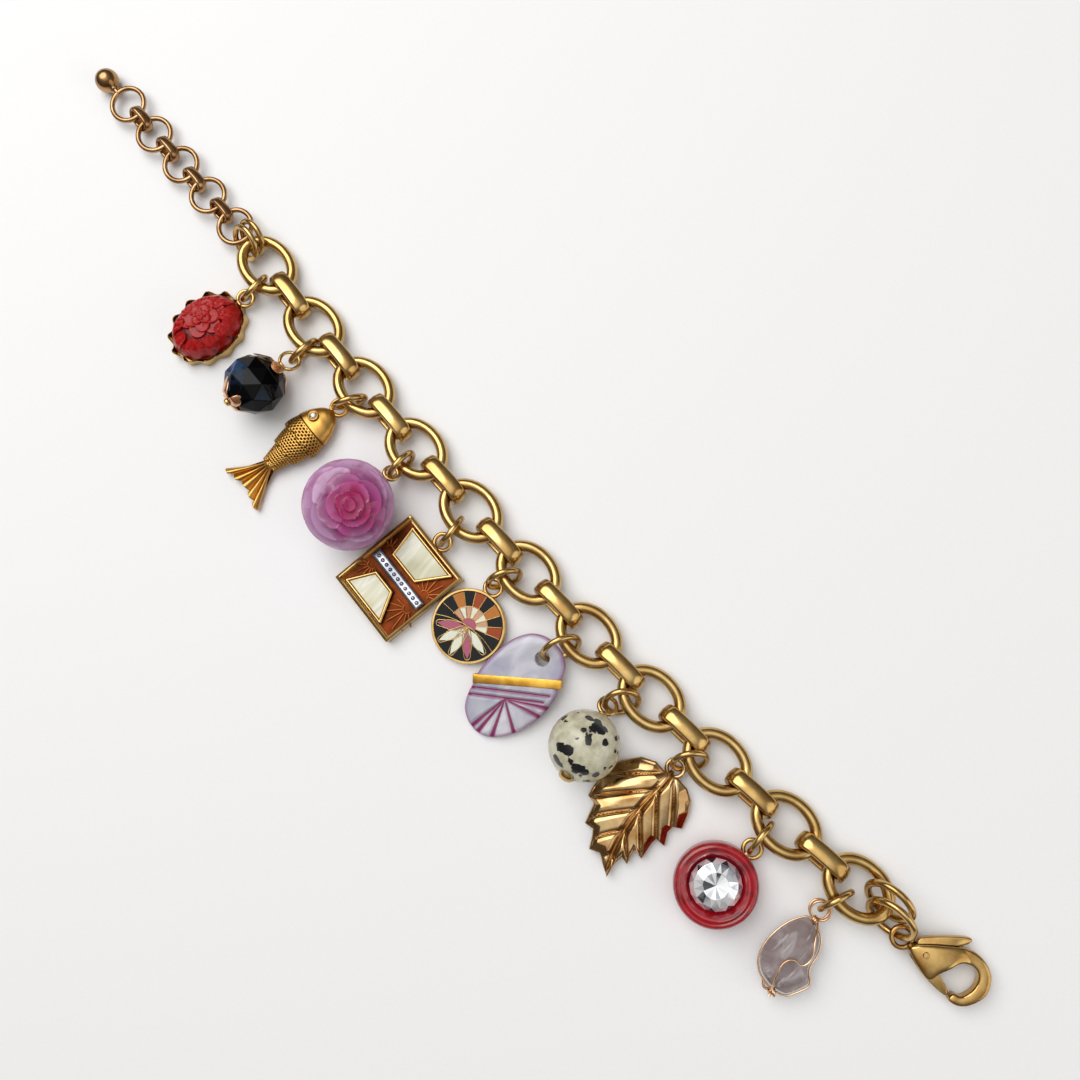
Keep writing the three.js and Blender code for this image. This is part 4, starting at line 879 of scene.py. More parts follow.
class BRACELET_OT_fish(BraceletPiece, bpy.types.Operator):
    """Make the fish with its pitted scales, collars and fluted tail"""

    bl_idname = "bracelet.fish"
    bl_label = "Fish"

    def make(self, sizes):
        place = flat_place("fish", -6)
        mouth, length, half = -2.45, 19.8, 3.5
        shares = np.linspace(0, 0.76, 150)
        rows = ((0, 0), (0.015, 0.22), (0.06, 0.5), (0.14, 0.78), (0.24, 0.97), (0.32, 1), (0.37, 0.97),
                (0.46, 0.83), (0.54, 0.66), (0.62, 0.5), (0.7, 0.32), (0.745, 0.25), (0.76, 0))
        girth = np.interp(shares, *zip(*rows))
        girth = np.convolve(np.pad(girth, 3, "edge"), np.ones(7) / 7, "valid")
        girth[0] = girth[-1] = 0
        body = turned("body", [(g * half, -s * length) for g, s in zip(girth, shares)], 128)
        pits = []

        def scaled(co):
            angle = np.arctan2(co[:, 1], co[:, 0])
            share = -co[:, 2] / length
            zigzag = 0.02 * (1 - np.abs((angle * 7 / math.pi) % 2 - 1) * 2)
            lift = np.zeros(len(co))
            for start, end in ((0.25, 0.385), (0.385, 0.55), (0.55, 0.71)):
                inside = (share > start + (zigzag if start > 0.3 else 0)) & (share <= end + zigzag)
                lift = np.where(inside, 0.02 + 0.5 * (share - start) / (end - start), lift)
            lift = np.where(share < 0.25, 0.16 * np.clip(share * 20, 0, 1), lift)
            row = np.floor((share - 0.25) / 0.0235)
            across = (angle / (2 * math.pi) * 30 + 0.5 * (row % 2)) % 1 - 0.5
            down = ((share - 0.25) / 0.0235) % 1 - 0.5
            hole = np.clip(1 - (across ** 2 + down ** 2) / 0.11, 0, 1) * ((share > 0.262) & (share < 0.705))
            gill = np.exp(-((share - 0.25) / 0.004) ** 2)
            pits.append(np.clip(hole * 1.3 + gill, 0, 1))
            away = np.maximum(np.hypot(co[:, 0], co[:, 1]), 0.4)
            grow = 1 + (lift - 0.34 * np.sqrt(hole) - 0.2 * gill) / away
            co[:, 0] *= grow
            co[:, 1] *= grow * 0.51
            return co

        reshape(body, scaled)
        move(body, (0, mouth, 1.85), (-90, 0, 0))
        tint(body, "pit", pits[0])
        bpy.ops.mesh.primitive_grid_add(x_subdivisions=80, y_subdivisions=24, size=2)
        tail = added("tail")
        root = mouth - 0.725 * length

        def fanned(co):
            side, down = co[:, 0], (1 - co[:, 1]) / 2
            flute = np.abs(np.cos(2.5 * math.pi * side))
            x = side * (0.75 + 4.0 * down ** 1.1)
            y = root - down * (5.2 + 1.1 * np.abs(side) + 0.35 * flute * down)
            z = 0.95 + (0.15 + 0.75 * down ** 0.6) * flute ** 0.7 * 0.9 + 0.9 * (1 - down) ** 3
            return np.stack([x, y, z], 1)

        reshape(tail, fanned)
        finish_with(tail, "SOLIDIFY", thickness=0.8, offset=-1)
        round_edges(tail, 0.15, 2, 60)
        smooth(tail, 60)
        socket = move(hoop("socket", 1.2, 0.4), (-1.15, mouth - 3.1, 3.45), (-8, -14, 0))
        eye = eye_ring(sizes.eye_inside, sizes.eye_wire, EYE_LIE)
        fish = join("fish", body, tail, socket, eye)
        settle(fish, "fish_body", place, antique_gold(), ["fish"])
        bpy.ops.mesh.primitive_ico_sphere_add(subdivisions=2, radius=0.62)
        chip = added("chip")
        bpy.ops.object.shade_flat()
        # Painted reflection: a scattered value for each facet of the eye stone, read by the foiled glass.
        tint(chip, "facet", [face.index * 0.37 % 1 for face in chip.data.polygons], "FACE")
        move(chip, (-1.15, mouth - 3.1, 3.42), scale=(1, 1, 0.7))
        settle(chip, "fish_eye_stone", place, foiled_glass())


def rose_resin(name, outer, heart):
    """Cloudy moulded resin: pale mauve petals round a hot pink heart, glossy, with light passing into it, and
    painted shade that darkens the carved cuts.
    """
    material, tree, shader, place = surface(name, Roughness=0.16, IOR=1.45, Subsurface_Weight=0.15,
                                            Subsurface_Scale=0.0012, Coat_Weight=0.2, Coat_Roughness=0.05)
    warmth = node(tree, "Attribute", {"attribute_name": "warmth"})
    cut = node(tree, "Attribute", {"attribute_name": "shade_relief"})
    cloud = node(tree, "TexNoise", {"Scale": 0.22, "Detail": 5.0, "Distortion": 1.2}, Vector=place)
    swirl = node(tree, "Math", {"operation": "MULTIPLY_ADD", 1: 0.9, 2: -0.45}, _0=cloud.outputs["Fac"])
    mixed = node(tree, "Math", {"operation": "ADD"}, _0=swirl.outputs[0], _1=warmth.outputs["Fac"])
    tone = ramp(tree, mixed.outputs[0], (0.05, "#C090B8"), (0.28, outer), (0.5, "#B0488A"), (0.75, heart))
    # Painted shade: low carving height darkens the resin in the cuts between the petals.
    shade = ramp(tree, cut.outputs["Fac"], (0.0, 0.62), (0.7, 1.0))
    both = node(tree, "Mix", {"data_type": "RGBA", "blend_type": "MULTIPLY", 0: 0.8})
    tree.links.new(tone, both.inputs[6])
    tree.links.new(shade, both.inputs[7])
    tree.links.new(both.outputs[2], shader.inputs["Base Color"])
    fine = node(tree, "TexNoise", {"Scale": 1.2, "Detail": 3.0}, Vector=place)
    bump = node(tree, "Bump", {"Strength": 0.12, "Distance": 0.0002}, Height=fine.outputs["Fac"])
    tree.links.new(bump.outputs["Normal"], shader.inputs["Normal"])
    return material


class BRACELET_OT_rose(BraceletPiece, bpy.types.Operator):
    """Make the carved rose bead and its peg eye"""

    bl_idname = "bracelet.rose"
    bl_label = "Rose bead"

    def make(self, sizes):
        place = hang_place("rose_bead", "rose_bead_eye")
        radius = sizes.rose_width / 2
        bead = ball("bead", 320, 160)
        warmth, shade_relief = [], []

        def carved(co):
            x, y, z = co.T
            down = np.arccos(np.clip(z, -1, 1)) / math.pi
            around = np.arctan2(y, x)
            inner = np.zeros_like(down)
            height = np.full_like(down, -1.0)
            for count, edge, phase in (
                (2, 0.045, 0.4), (3, 0.095, 1.3), (3, 0.155, 0.2), (4, 0.225, 0.9), (4, 0.305, 0.1),
                (5, 0.395, 1.0), (5, 0.5, 0.3), (6, 0.63, 0.8), (6, 0.8, 0.2),
            ):
                lobe = np.abs(np.cos(count / 2 * around + phase)) ** 0.8 - 0.5
                lip = edge * (1 + 0.24 * lobe * min(1, 0.3 / edge)) + 0.006 * np.sin(around + phase)
                share = np.clip((down - inner) / np.maximum(lip - inner, 0.004), 0, 1)
                here = (down >= inner) & (down < lip)
                rise = share ** 1.4 * np.clip((1 - share) * 9, 0, 1) ** 0.5
                height = np.where(here, rise - 1, height)
                inner = np.maximum(inner, lip)
            warmth.append(np.clip(1.1 - 3.4 * down + 0.5 * np.cos(around - 0.6) * down, 0, 1))
            shade_relief.append(height + 1)
            depth = 0.75 * np.clip(0.35 + down * 4, 0, 1) * np.clip((0.85 - down) * 6, 0, 1)
            return co * (radius + height * depth)[:, None]

        reshape(bead, carved)
        tint(bead, "warmth", warmth[0])
        # Painted shade: the petal heights are stored so the resin can darken the cuts.
        tint(bead, "shade_relief", shade_relief[0])
        look = Vector((0.31, 0.1, 0.945))
        side = Vector((0, 1, 0)).cross(look)
        face = matrix_from(side, look.cross(side), look, place.translation / MM)
        pink = rose_resin("cloudy pink resin", *tones("rose", "rose_heart"))
        settle(smooth(bead, 80), "rose_carving", face, pink, ["rose_bead"])
        eye = move(hoop("eye", 1.6, 0.7), (0, radius + 1.5, 0))
        collar = move(turned("collar", [(0, 0.5), (0.55, 0.45), (0.8, 0.2), (0.8, 0), (0, 0)], 24),
                      (0, radius - 0.35, 0), (-90, 0, 0))
        settle(join("peg", eye, collar), "rose_wire", place, gold(), ["rose_bead_eye"])


def mother_of_pearl(name, *stops, stretch=(1.0, 0.25, 1.0), turn=0.0, gloss=0.18):
    """Polished shell: soft bands of cream, grey and pale colour that run one way under a gloss."""
    material, tree, shader, place = surface(name, Roughness=gloss, IOR=1.5, Coat_Weight=0.2, Coat_Roughness=0.06)
    spun = node(tree, "Mapping", {"Rotation": (0, 0, turn), "Scale": stretch}, Vector=place)
    cloud = node(tree, "TexNoise", {"Scale": 0.45, "Detail": 3.0, "Distortion": 0.5}, Vector=spun.outputs[0])
    tree.links.new(ramp(tree, cloud.outputs["Fac"], *stops), shader.inputs["Base Color"])
    rough = node(tree, "MapRange", {"To Min": gloss * 0.7, "To Max": gloss * 1.6}, Value=cloud.outputs["Fac"])
    tree.links.new(rough.outputs["Result"], shader.inputs["Roughness"])
    return material, tree, shader


class BRACELET_OT_square(BraceletPiece, bpy.types.Operator):
    """Make the square charm with its pearl panels, silver bar and copper sunbursts"""

    bl_idname = "bracelet.square"
    bl_label = "Square charm"

    def make(self, sizes):
        place = flat_place("square_frame", -5.5)
        half_x, half_y, thick = 7.0, 8.15, 2.2
        middle = -BELOW_EYE - half_y
        tray = block("tray", (2 * half_x, 2 * half_y, thick), (0, middle, thick / 2), 0.16)
        edit(tray)
        pick(tray, lambda face: face.normal.z > 0.9, "FACE")
        bpy.ops.mesh.inset(thickness=0.45, depth=0.0)
        bpy.ops.mesh.inset(thickness=0.25, depth=0.0)
        bpy.ops.transform.translate(value=(0, 0, -0.5))
        bpy.ops.mesh.extrude_region_move(TRANSFORM_OT_translate={"value": (0, 0, -0.85)})
        done(tray)
        parts = [smooth(tray, 35), eye_ring(sizes.eye_inside, sizes.eye_wire, EYE_LIE)]
        cell_x, cell_y = half_x - 0.8, half_y - 0.8
        panels = (
            [(-0.79, 0.94), (0.86, 0.94), (0.35, 0.24), (-0.59, 0.24)],
            [(-0.51, -0.32), (0.16, -0.32), (0.59, -0.94), (-0.86, -0.94)],
        )
        stops = (0.3, "#C9C4A0"), (0.48, "#D9D7B9"), (0.6, "#ECEBDA"), (0.75, "#CFCBAC")
        cream = mother_of_pearl("white mother-of-pearl", *stops, stretch=(1.0, 0.18, 1.0), turn=0.5)[0]
        for number, rows in enumerate(panels, 1):
            corners = [(x * cell_x, middle + y * cell_y) for x, y in rows]
            inlay = slab("inlay", corners, 0.9, 2.05, 0.08)
            settle(inlay, f"pearl_panel_{number}", place, cream, [f"square_pearl_{number}"])
            loop = [Vector((x, y, 2.0)) for x, y in corners]
            shares = 0.0, 0.04, 0.5, 0.96
            edge = [loop[i].lerp(loop[(i + 1) % 4], share) for i in range(4) for share in shares]
            parts.append(wire("edge", edge, 0.62, closed=True))
        settle(join("frame", *parts), "square_tray", place, gold(), ["square_frame"])

        bar_y = middle + cell_y * -0.03
        bar = block("bar", (1.94 * cell_x, 1.9, 1.1), (0, bar_y, 1.55), 0.12)
        edit(bar)
        pick(bar, lambda face: face.normal.z > 0.9, "FACE")
        bpy.ops.mesh.inset(thickness=0.3, depth=0.0)
        bpy.ops.mesh.inset(thickness=0.1, depth=0.0)
        bpy.ops.transform.translate(value=(0, 0, -0.3))
        done(bar)
        dots = []
        for i in range(11):
            dots.append(move(ball("dot", 12, 8), ((i - 5) * 1.02, bar_y, 1.9), scale=(0.34, 0.34, 0.26)))
        silver = polished_gold("rhodium plate", "#A6A8AE", "#7C7F88", 0.24)
        settle(join("bar", smooth(bar, 35), *dots), "silver_bar", place, silver)

        fans = []
        hubs = (0.97, 0.2, 3.6), (0.97, -0.28, 4.2), (-0.97, 0.22, 2.4), (-0.97, -0.28, 3.0)
        for across, high, reach in hubs:
            hub = np.array([across * cell_x * 0.8, middle + high * cell_y])
            side, up = np.sign(across), np.sign(high)
            for k in range(7):
                angle = math.radians(8 + k * 24)
                direction = np.array([-side * math.cos(angle), up * math.sin(angle)])
                long = reach * (0.5 + 0.5 * math.sin(angle))
                marks = (0.9, 1.42), ((0.9 + long) * 0.6, 1.5), (long, 1.42)
                ray = [(*(hub + direction * far), lift) for far, lift in marks]
                fans.append(wire("ray", ray, 0.3, sides=3))
            arc = [(*(hub + 0.75 * np.array([-side * math.cos(a), up * math.sin(a)])), 1.45)
                   for a in np.linspace(0, math.pi, 9)]
            fans.append(wire("arc", arc, 0.26, sides=3))
        low, high = middle - cell_y, middle + cell_y
        plate = slab("plate", [(-cell_x, low), (cell_x, low), (cell_x, high), (-cell_x, high)], 0.85, 1.32)
        settle(plate, "copper_plate", place, copper("dulled copper", "#6A3016", "#40200E"))
        rubbed = copper("rubbed copper", "#C4703A", "#8E4A22")
        settle(join("fans", *fans), "copper_sunbursts", place, rubbed)


def copper(name, bright, dark):
    """Stamped copper: warm brown-red, dull in the ground and rubbed bright on the ridges."""
    return polished_gold(name, bright, dark, 0.36)


def enamel(name, code):
    """Fired enamel flush with its wires: an even, glassy colour with faint clouding."""
    material, tree, shader, place = surface(name, Roughness=0.1, IOR=1.5, Specular_IOR_Level=0.25)
    cloud = node(tree, "TexNoise", {"Scale": 1.2, "Detail": 3.0}, Vector=place)
    base = linear(code)
    deep = [part * 0.78 for part in base[:3]] + [1]
    mixed = node(tree, "Mix", {"data_type": "RGBA", 6: deep, 7: base}, _0=cloud.outputs["Fac"])
    tree.links.new(mixed.outputs[2], shader.inputs["Base Color"])
    return material


class BRACELET_OT_disc(BraceletPiece, bpy.types.Operator):
    """Make the round enamelled disc"""

    bl_idname = "bracelet.disc"
    bl_label = "Enamel disc"

    def make(self, sizes):
        radius, thick = 6.2, 1.5
        rise = EYE_LIE - thick / 2
        place = flat_place("enamel_disc", 12, rise, 15.0)
        middle = 0.175 - 2.8 - radius
        profile = [(0, 0), (radius - 0.25, 0), (radius, 0.2), (radius, thick - 0.2), (radius - 0.12, thick),
                   (radius - 0.42, thick), (radius - 0.5, thick - 0.16), (0, thick - 0.16)]
        plate = move(turned("plate", profile, 96), (0, middle, 0))
        top = thick - 0.05
        wires = []

        def strip(*points, closed=False):
            return wire("cell", [(x, middle + y, top) for x, y in points], 0.17, closed, sides=2)

        def petal(k, reach, broad, narrow):
            angle = math.radians(-90 + 34 * k)
            tip = np.array([math.cos(angle), math.sin(angle)])
            across = np.array([-tip[1], tip[0]])
            rows = (0, 0), (1.82, broad), (3.64, narrow), (reach, 0), (3.64, -narrow), (1.82, -broad)
            return [(0, -0.4) + tip * along + across * aside for along, aside in rows]

        def arc(reach, angles):
            return [(reach * math.cos(angle), reach * math.sin(angle)) for angle in angles]

        horizon = [(-5.6, -1.3), (-3.0, -0.4), (0, -0.1), (3.0, -0.4), (5.6, -1.3)]
        wires.append(strip(*horizon))
        for k in range(9):
            wires.append(strip(*[arc(reach, [math.radians(10 + 20 * k)])[0] for reach in (1.3, 3.5, 5.6)]))
        for k in (-2, -1, 0, 1, 2):
            wires.append(strip(*petal(k, 5.2, 0.75, 0.63), closed=True))
        for reach in (1.3, 3.2):
            wires.append(strip(*arc(reach, np.linspace(0.12, math.pi - 0.12, 15))))
        rim = join("disc", plate, eye_ring(sizes.eye_inside, sizes.eye_wire, thick / 2), *wires)
        settle(rim, "disc_plate", place, gold(), ["enamel_disc"])

        def fill(name, outline, code, lift=0.0):
            shape = slab(name, [(x, middle + y) for x, y in outline], thick - 0.2, thick - 0.06 + lift)
            settle(shape, "enamel_" + name, place, enamel("enamel " + name, code))

        inner = radius - 0.47
        fill("black", arc(inner, np.linspace(0, 2 * math.pi, 96, endpoint=False)), "#08080A")
        terracotta, amber, cream, blush, rose = "#A5481C", "#C47A34", "#EEF0DC", "#D9A68A", "#B8647A"
        for k in range(8):
            spread = np.linspace(math.radians(10 + 20 * k), math.radians(30 + 20 * k), 6)
            if k % 2 == 0:
                cell = arc(3.2, spread) + arc(5.6, spread[::-1])
                fill(f"ray_{k}", cell, (terracotta, amber)[k // 2 % 2], 0.01)
            fill(f"halo_{k}", arc(1.3, spread) + arc(3.2, spread[::-1]), (cream, blush)[k % 2], 0.01)
        fill("sun", arc(1.3, np.linspace(0, math.pi, 16)), rose, 0.01)
        for k in (-2, -1, 0, 1, 2):
            fill(f"petal_{k + 3}", petal(k, 5.1, 0.72, 0.6), (cream, rose, cream)[k % 3], 0.02)


class BRACELET_OT_shell(BraceletPiece, bpy.types.Operator):
    """Make the carved shell with its gold band"""

    bl_idname = "bracelet.shell"
    bl_label = "Carved shell"

    def make(self, sizes):
        width, length, thick = 12.4, 19.2, 1.7
        rise = 2.9 - thick / 2
        place = flat_place("shell", 0, rise, length - 1.8, above=0.9)
        drop = (1.8 - length) / 2
        rows = [(-0.08, 0.5), (0.12, 0.49), (0.29, 0.42), (0.38, 0.3), (0.4, 0.25), (0.46, 0.21), (0.5, 0.1),
                (0.5, -0.08), (0.43, -0.26), (0.28, -0.42), (0.1, -0.5), (-0.1, -0.5), (-0.28, -0.44),
                (-0.38, -0.34), (-0.43, -0.24), (-0.47, -0.18), (-0.5, -0.06), (-0.5, 0.1), (-0.46, 0.27),
                (-0.36, 0.4), (-0.23, 0.47)]
        outline = along_outline([(x * width, y * length) for x, y in rows], 240, True)[::-1]
        ends = (-0.05, -0.5), (0.06, -0.5), (0.24, -0.44), (0.42, -0.28), (0.48, -0.03), (0.49, 0.07)
        grooves = [((0.02, -0.13), end, 0.2, 0.55) for end in ends]
        grooves += [((-0.5, -0.24 - shift), (0.4, 0.23 - shift), 0.42, 0) for shift in (0.075, 0.15)]

        def carved(x, y):
            depth = np.zeros_like(x)
            for start, end, narrow, widening in grooves:
                a = np.array([start[0] * width, start[1] * length])
                b = np.array([end[0] * width, end[1] * length])
                run = b - a
                t = np.clip(((x - a[0]) * run[0] + (y - a[1]) * run[1]) / (run @ run), 0, 1)
                away = np.hypot(x - a[0] - t * run[0], y - a[1] - t * run[1])
                depth = np.maximum(depth, np.clip(1 - away / (narrow + widening * t), 0, 1))
            return depth

        shell = cushion("shell", outline, np.zeros(2), 60,
                        lambda x, y, s, i: thick - 0.38 * np.sqrt(carved(x, y)), lambda x, y, s, i: 0 * x, 12)
        co = points_of(shell)
        # Painted shade: how deep each carved groove is, stored for the shell's colour.
        tint(shell, "groove", carved(co[:, 0], co[:, 1]))
        rim = np.linalg.norm(co[:, None, :2] - outline[None], axis=2).min(axis=1)
        tint(shell, "edge", np.clip(1 - rim / 0.8, 0, 1))
        bpy.ops.mesh.primitive_cylinder_add(vertices=48, radius=1.25, depth=6, location=(0, -2.15 - drop, 0))
        drill = added("drill")
        finish_with(shell, "BOOLEAN", operation="DIFFERENCE", solver="EXACT", object=drill)
        scrap(drill)
        smooth(shell, 40)
        move(shell, (0, drop, 0))
        stops = (0.32, "#A39FB4"), (0.46, "#B4B4BE"), (0.58, "#C9C6D0"), (0.7, "#E4E2E6")
        bands = (0.5, 0.3, 1.0)
        material, tree, shader = mother_of_pearl("violet mother-of-pearl", *stops, stretch=bands, turn=0.6)
        base = shader.inputs["Base Color"].links[0].from_socket
        # Painted shade: the carved grooves are darkened to deep magenta (#84265C).
        groove = node(tree, "Attribute", {"attribute_name": "groove"})
        line = ramp(tree, groove.outputs["Fac"], (0.25, 0.0), (0.7, 1.0))
        edge = node(tree, "Attribute", {"attribute_name": "edge"})
        rim_line = ramp(tree, edge.outputs["Fac"], (0.1, 0.0), (0.9, 0.75))
        rimmed = node(tree, "Mix", {"data_type": "RGBA", 7: linear("#96548C")}, _0=rim_line, _6=base)
        mixed = node(tree, "Mix", {"data_type": "RGBA", 7: linear("#84265C")}, _0=line)
        tree.links.new(rimmed.outputs[2], mixed.inputs[6])
        tree.links.new(mixed.outputs[2], shader.inputs["Base Color"])
        settle(shell, "shell_carving", place, material, ["shell"])

        angle = math.atan2(0.48 * length, 0.84 * width)
        band = block("band", (14.6, 1.5, thick + 0.1), (0, 0, 0), 0.12)
        move(band, (-0.03 * width, 0.05 * length + drop, thick / 2), (0, 0, math.degrees(angle)))
        settle(band, "shell_gold_band", place, gilt(), ["shell_band"])


def gilt():
    """Bright gilding on shell: a deep yellow mirror, rubbed thin in places."""
    return polished_gold("rubbed gilding", "#E6B450", "#B9822C", 0.28, 1.5)


def spotted_stone():
    """Spotted jasper: pale greenish cream with fine grey specks and ragged black spots."""
    material, tree, shader, place = surface("spotted jasper", Roughness=0.24, IOR=1.54, Coat_Weight=0.2)
    bend = node(tree, "TexNoise", {"Scale": 1.1, "Detail": 3.0}, Vector=place)
    shift = node(tree, "VectorMath", {"operation": "MULTIPLY_ADD", 1: (1.3, 1.3, 1.3)}, _0=bend.outputs["Color"],
                 _2=place)
    cells = node(tree, "TexVoronoi", {"Scale": 0.5, "Randomness": 1.0}, Vector=shift.outputs[0])
    some = node(tree, "TexNoise", {"Scale": 0.3, "Detail": 1.0}, Vector=place)
    reach = node(tree, "Math", {"operation": "MULTIPLY_ADD", 1: 1.5, 2: -0.47}, _0=some.outputs["Fac"])
    gap = node(tree, "Math", {"operation": "SUBTRACT"}, _0=cells.outputs["Distance"], _1=reach.outputs[0])
    mask = ramp(tree, gap.outputs[0], (0.0, 1.0), (0.035, 0.0))
    cloud = node(tree, "TexNoise", {"Scale": 0.7, "Detail": 5.0}, Vector=place)
    ground = ramp(tree, cloud.outputs["Fac"], (0.3, "#A8A389"), (0.5, "#C2BEA3"), (0.7, "#D3D0B8"))
    mixed = node(tree, "Mix", {"data_type": "RGBA", 7: linear("#17181B")}, _0=mask)
    tree.links.new(ground, mixed.inputs[6])
    tree.links.new(mixed.outputs[2], shader.inputs["Base Color"])
    return material


class BRACELET_OT_jasper(BraceletPiece, bpy.types.Operator):
    """Make the spotted bead on its head pin"""

    bl_idname = "bracelet.jasper"
    bl_label = "Spotted bead"

    def make(self, sizes):
        place = hang_place("jasper_bead", "jasper_bead_pin")
        radius = sizes.jasper_width / 2
        bead = ball("bead", 96, 64)

        def dimpled(co):
            end = np.clip((np.abs(co[:, 1]) - 0.985) / 0.015, 0, 1)
            return co * (radius * (1 - 0.05 * end))[:, None]

        reshape(bead, dimpled)
        settle(bead, "jasper_ball", place, spotted_stone(), ["jasper_bead"])
        head = turned("head", [(0, 0.75), (0.6, 0.7), (1.05, 0.5), (1.3, 0.15), (1.28, 0), (0, 0)], 32)
        move(head, (0, -radius - 0.05, 0), (90, 0, 0))
        eye = move(hoop("eye", sizes.eye_inside, sizes.eye_wire), (0, radius + 0.7 + 1.4, 0))
        stem = wire("stem", [(0, radius - 0.4, 0), (0, radius + 0.4, 0), (0, radius + 0.8, 0)], 0.7)
        coil = move(hoop("coil", 0.7, 0.5), (0, radius + 0.3, 0), (90, 0, 0))
        settle(join("pin", head, eye, stem, coil), "jasper_pin", place, gold(), ["jasper_bead_pin"])


class BRACELET_OT_leaf(BraceletPiece, bpy.types.Operator):
    """Make the veined leaf"""

    bl_idname = "bracelet.leaf"
    bl_label = "Leaf"

    def make(self, sizes):
        place = flat_place("leaf", 0)
        width, length = 14.9, 18.6
        rows = [(0, 0), (0.1, 0.02), (0.23, 0.015), (0.35, -0.035), (0.43, -0.12), (0.5, -0.26), (0.42, -0.25),
                (0.415, -0.36), (0.495, -0.465), (0.38, -0.465), (0.38, -0.53), (0.42, -0.68), (0.3, -0.67),
                (0.35, -0.8), (0.26, -0.785), (0.255, -0.87), (0.295, -1), (0.17, -0.945), (0.07, -0.9),
                (-0.04, -0.945), (-0.115, -0.845), (-0.16, -0.8), (-0.26, -0.82), (-0.34, -0.645), (-0.44, -0.64),
                (-0.47, -0.55), (-0.5, -0.38), (-0.455, -0.225), (-0.335, -0.075), (-0.19, -0.01), (-0.07, -0.016)]
        stem = -BELOW_EYE
        outline = along_outline([(x * width, stem + y * length) for x, y in rows], 360)[::-1]

        def puffed(x, y, share, index):
            down = np.clip((stem - y) / length, 0, 1)
            side = x - (0.02 + 0.25 * down ** 3) * width
            wave = down - np.abs(side) / width * 0.9
            arch = 2.0 * np.clip(1 - (2 * side / width) ** 2, 0, 1) * (1 - 0.5 * down)
            cell = np.abs(((wave * 4.6 + 0.2) % 1) - 0.5) * 2
            ribs = 0.6 * (1 - cell ** 5) * np.clip(np.abs(side) / 1.0, 0, 1)
            midrib = 0.35 * np.exp(-(side / 0.35) ** 2)
            return arch + 0.85 + ribs * np.clip(5 * (1 - share), 0.25, 1) - midrib

        leaf = cushion("leaf", outline, np.array([0.0, stem - 0.47 * length]), 60, puffed,
                       lambda x, y, s, i: puffed(x, y, s, i) - 0.75, 20)
        low = min(vert.co.z for vert in leaf.data.vertices)
        reshape(leaf, lambda co: co - [0, 0, low])
        eye = eye_ring(sizes.eye_inside, sizes.eye_wire, EYE_LIE)
        stalk = wire("stalk", [(0, stem + 0.5, 1.6), (0, stem - 0.6, 2.3), (0.1, stem - 2.5, 2.75)], 0.8)
        leaf_gold = polished_gold("mirror brass", "#C4A678", "#A27A4A", 0.13, 0.4)
        settle(join("leaf", leaf, eye, stalk), "leaf_blade", place, leaf_gold, ["leaf"])


class BRACELET_OT_button(BraceletPiece, bpy.types.Operator):
    """Make the red button with its clear stone"""

    bl_idname = "bracelet.button"
    bl_label = "Red button"

    def make(self, sizes):
        place = flat_place("button", -2)
        radius, high = sizes.button_width / 2, 4.6
        seat = sizes.stone_width / 2 + 0.15
        profile = [(0, 0), (radius - 1.2, 0), (radius - 0.5, 0.25), (radius - 0.08, 0.9), (radius, 1.8),
                   (radius, high - 1.2), (radius - 0.1, high - 0.55), (radius - 0.4, high - 0.12),
                   (radius - 0.75, high),
                   (radius - 1.05, high - 0.12), (radius - 1.25, high - 0.42), (radius - 1.4, high - 0.5),
                   (radius - 1.65, high - 0.42), (seat + 0.55, high - 0.75), (seat + 0.1, high - 1.5),
                   (seat, high - 2.4), (0, high - 2.6)]
        body = turned("button", profile, 96)
        finish_with(body, "SUBSURF", levels=1, render_levels=1)
        middle = -BELOW_EYE - radius
        smooth(move(body, (0, middle, 0)), 60)
        red = lacquer_pearl("pearly red resin", *tones("red"))
        settle(body, "button_body", place, red, ["button"])
        eye = eye_ring(sizes.eye_inside, sizes.eye_wire, EYE_LIE)
        shank = wire("shank", [(0, -2.5, 1.6), (0, -3.2, 1.6), (0, -3.8, 1.6)], 1.0)
        settle(join("shank", eye, shank), "button_eye", place, gold())

        stone = sizes.stone_width / 2
        low = high - 2.55
        rings = [(0, low + 0.2), (stone * 0.97, low + 0.75), (stone, low + 0.95), (stone * 0.84, low + 1.6),
                 (stone * 0.5, low + 2.1), (0, low + 1.7)]
        gem = turned("gem", rings, 16)

        def kite(co):
            reach = np.hypot(co[:, 0], co[:, 1])
            turn = np.where(np.abs(reach - stone * 0.84) < 0.05, math.pi / 16, 0)
            x = co[:, 0] * np.cos(turn) - co[:, 1] * np.sin(turn)
            y = co[:, 0] * np.sin(turn) + co[:, 1] * np.cos(turn)
            return np.stack([x, y, co[:, 2]], 1)

        reshape(gem, kite)
        edit(gem)
        bpy.ops.mesh.select_all(action="SELECT")
        bpy.ops.mesh.quads_convert_to_tris(quad_method="SHORTEST_DIAGONAL")
        done(gem)
        round_edges(gem, 0.03, 1, 8)
        only(gem)
        bpy.ops.object.shade_flat()
        # Painted reflection: a scattered value for each facet, which the foiled glass turns into a flash, mirror
        # or window.
        flash = [(face.center.x * 7.3 + face.center.y * 4.7 + face.index * 0.37) % 1
                 for face in gem.data.polygons]
        tint(gem, "facet", flash, "FACE")
        move(gem, (0, middle, 0))
        settle(gem, "clear_stone", place, foiled_glass(), ["rhinestone"])


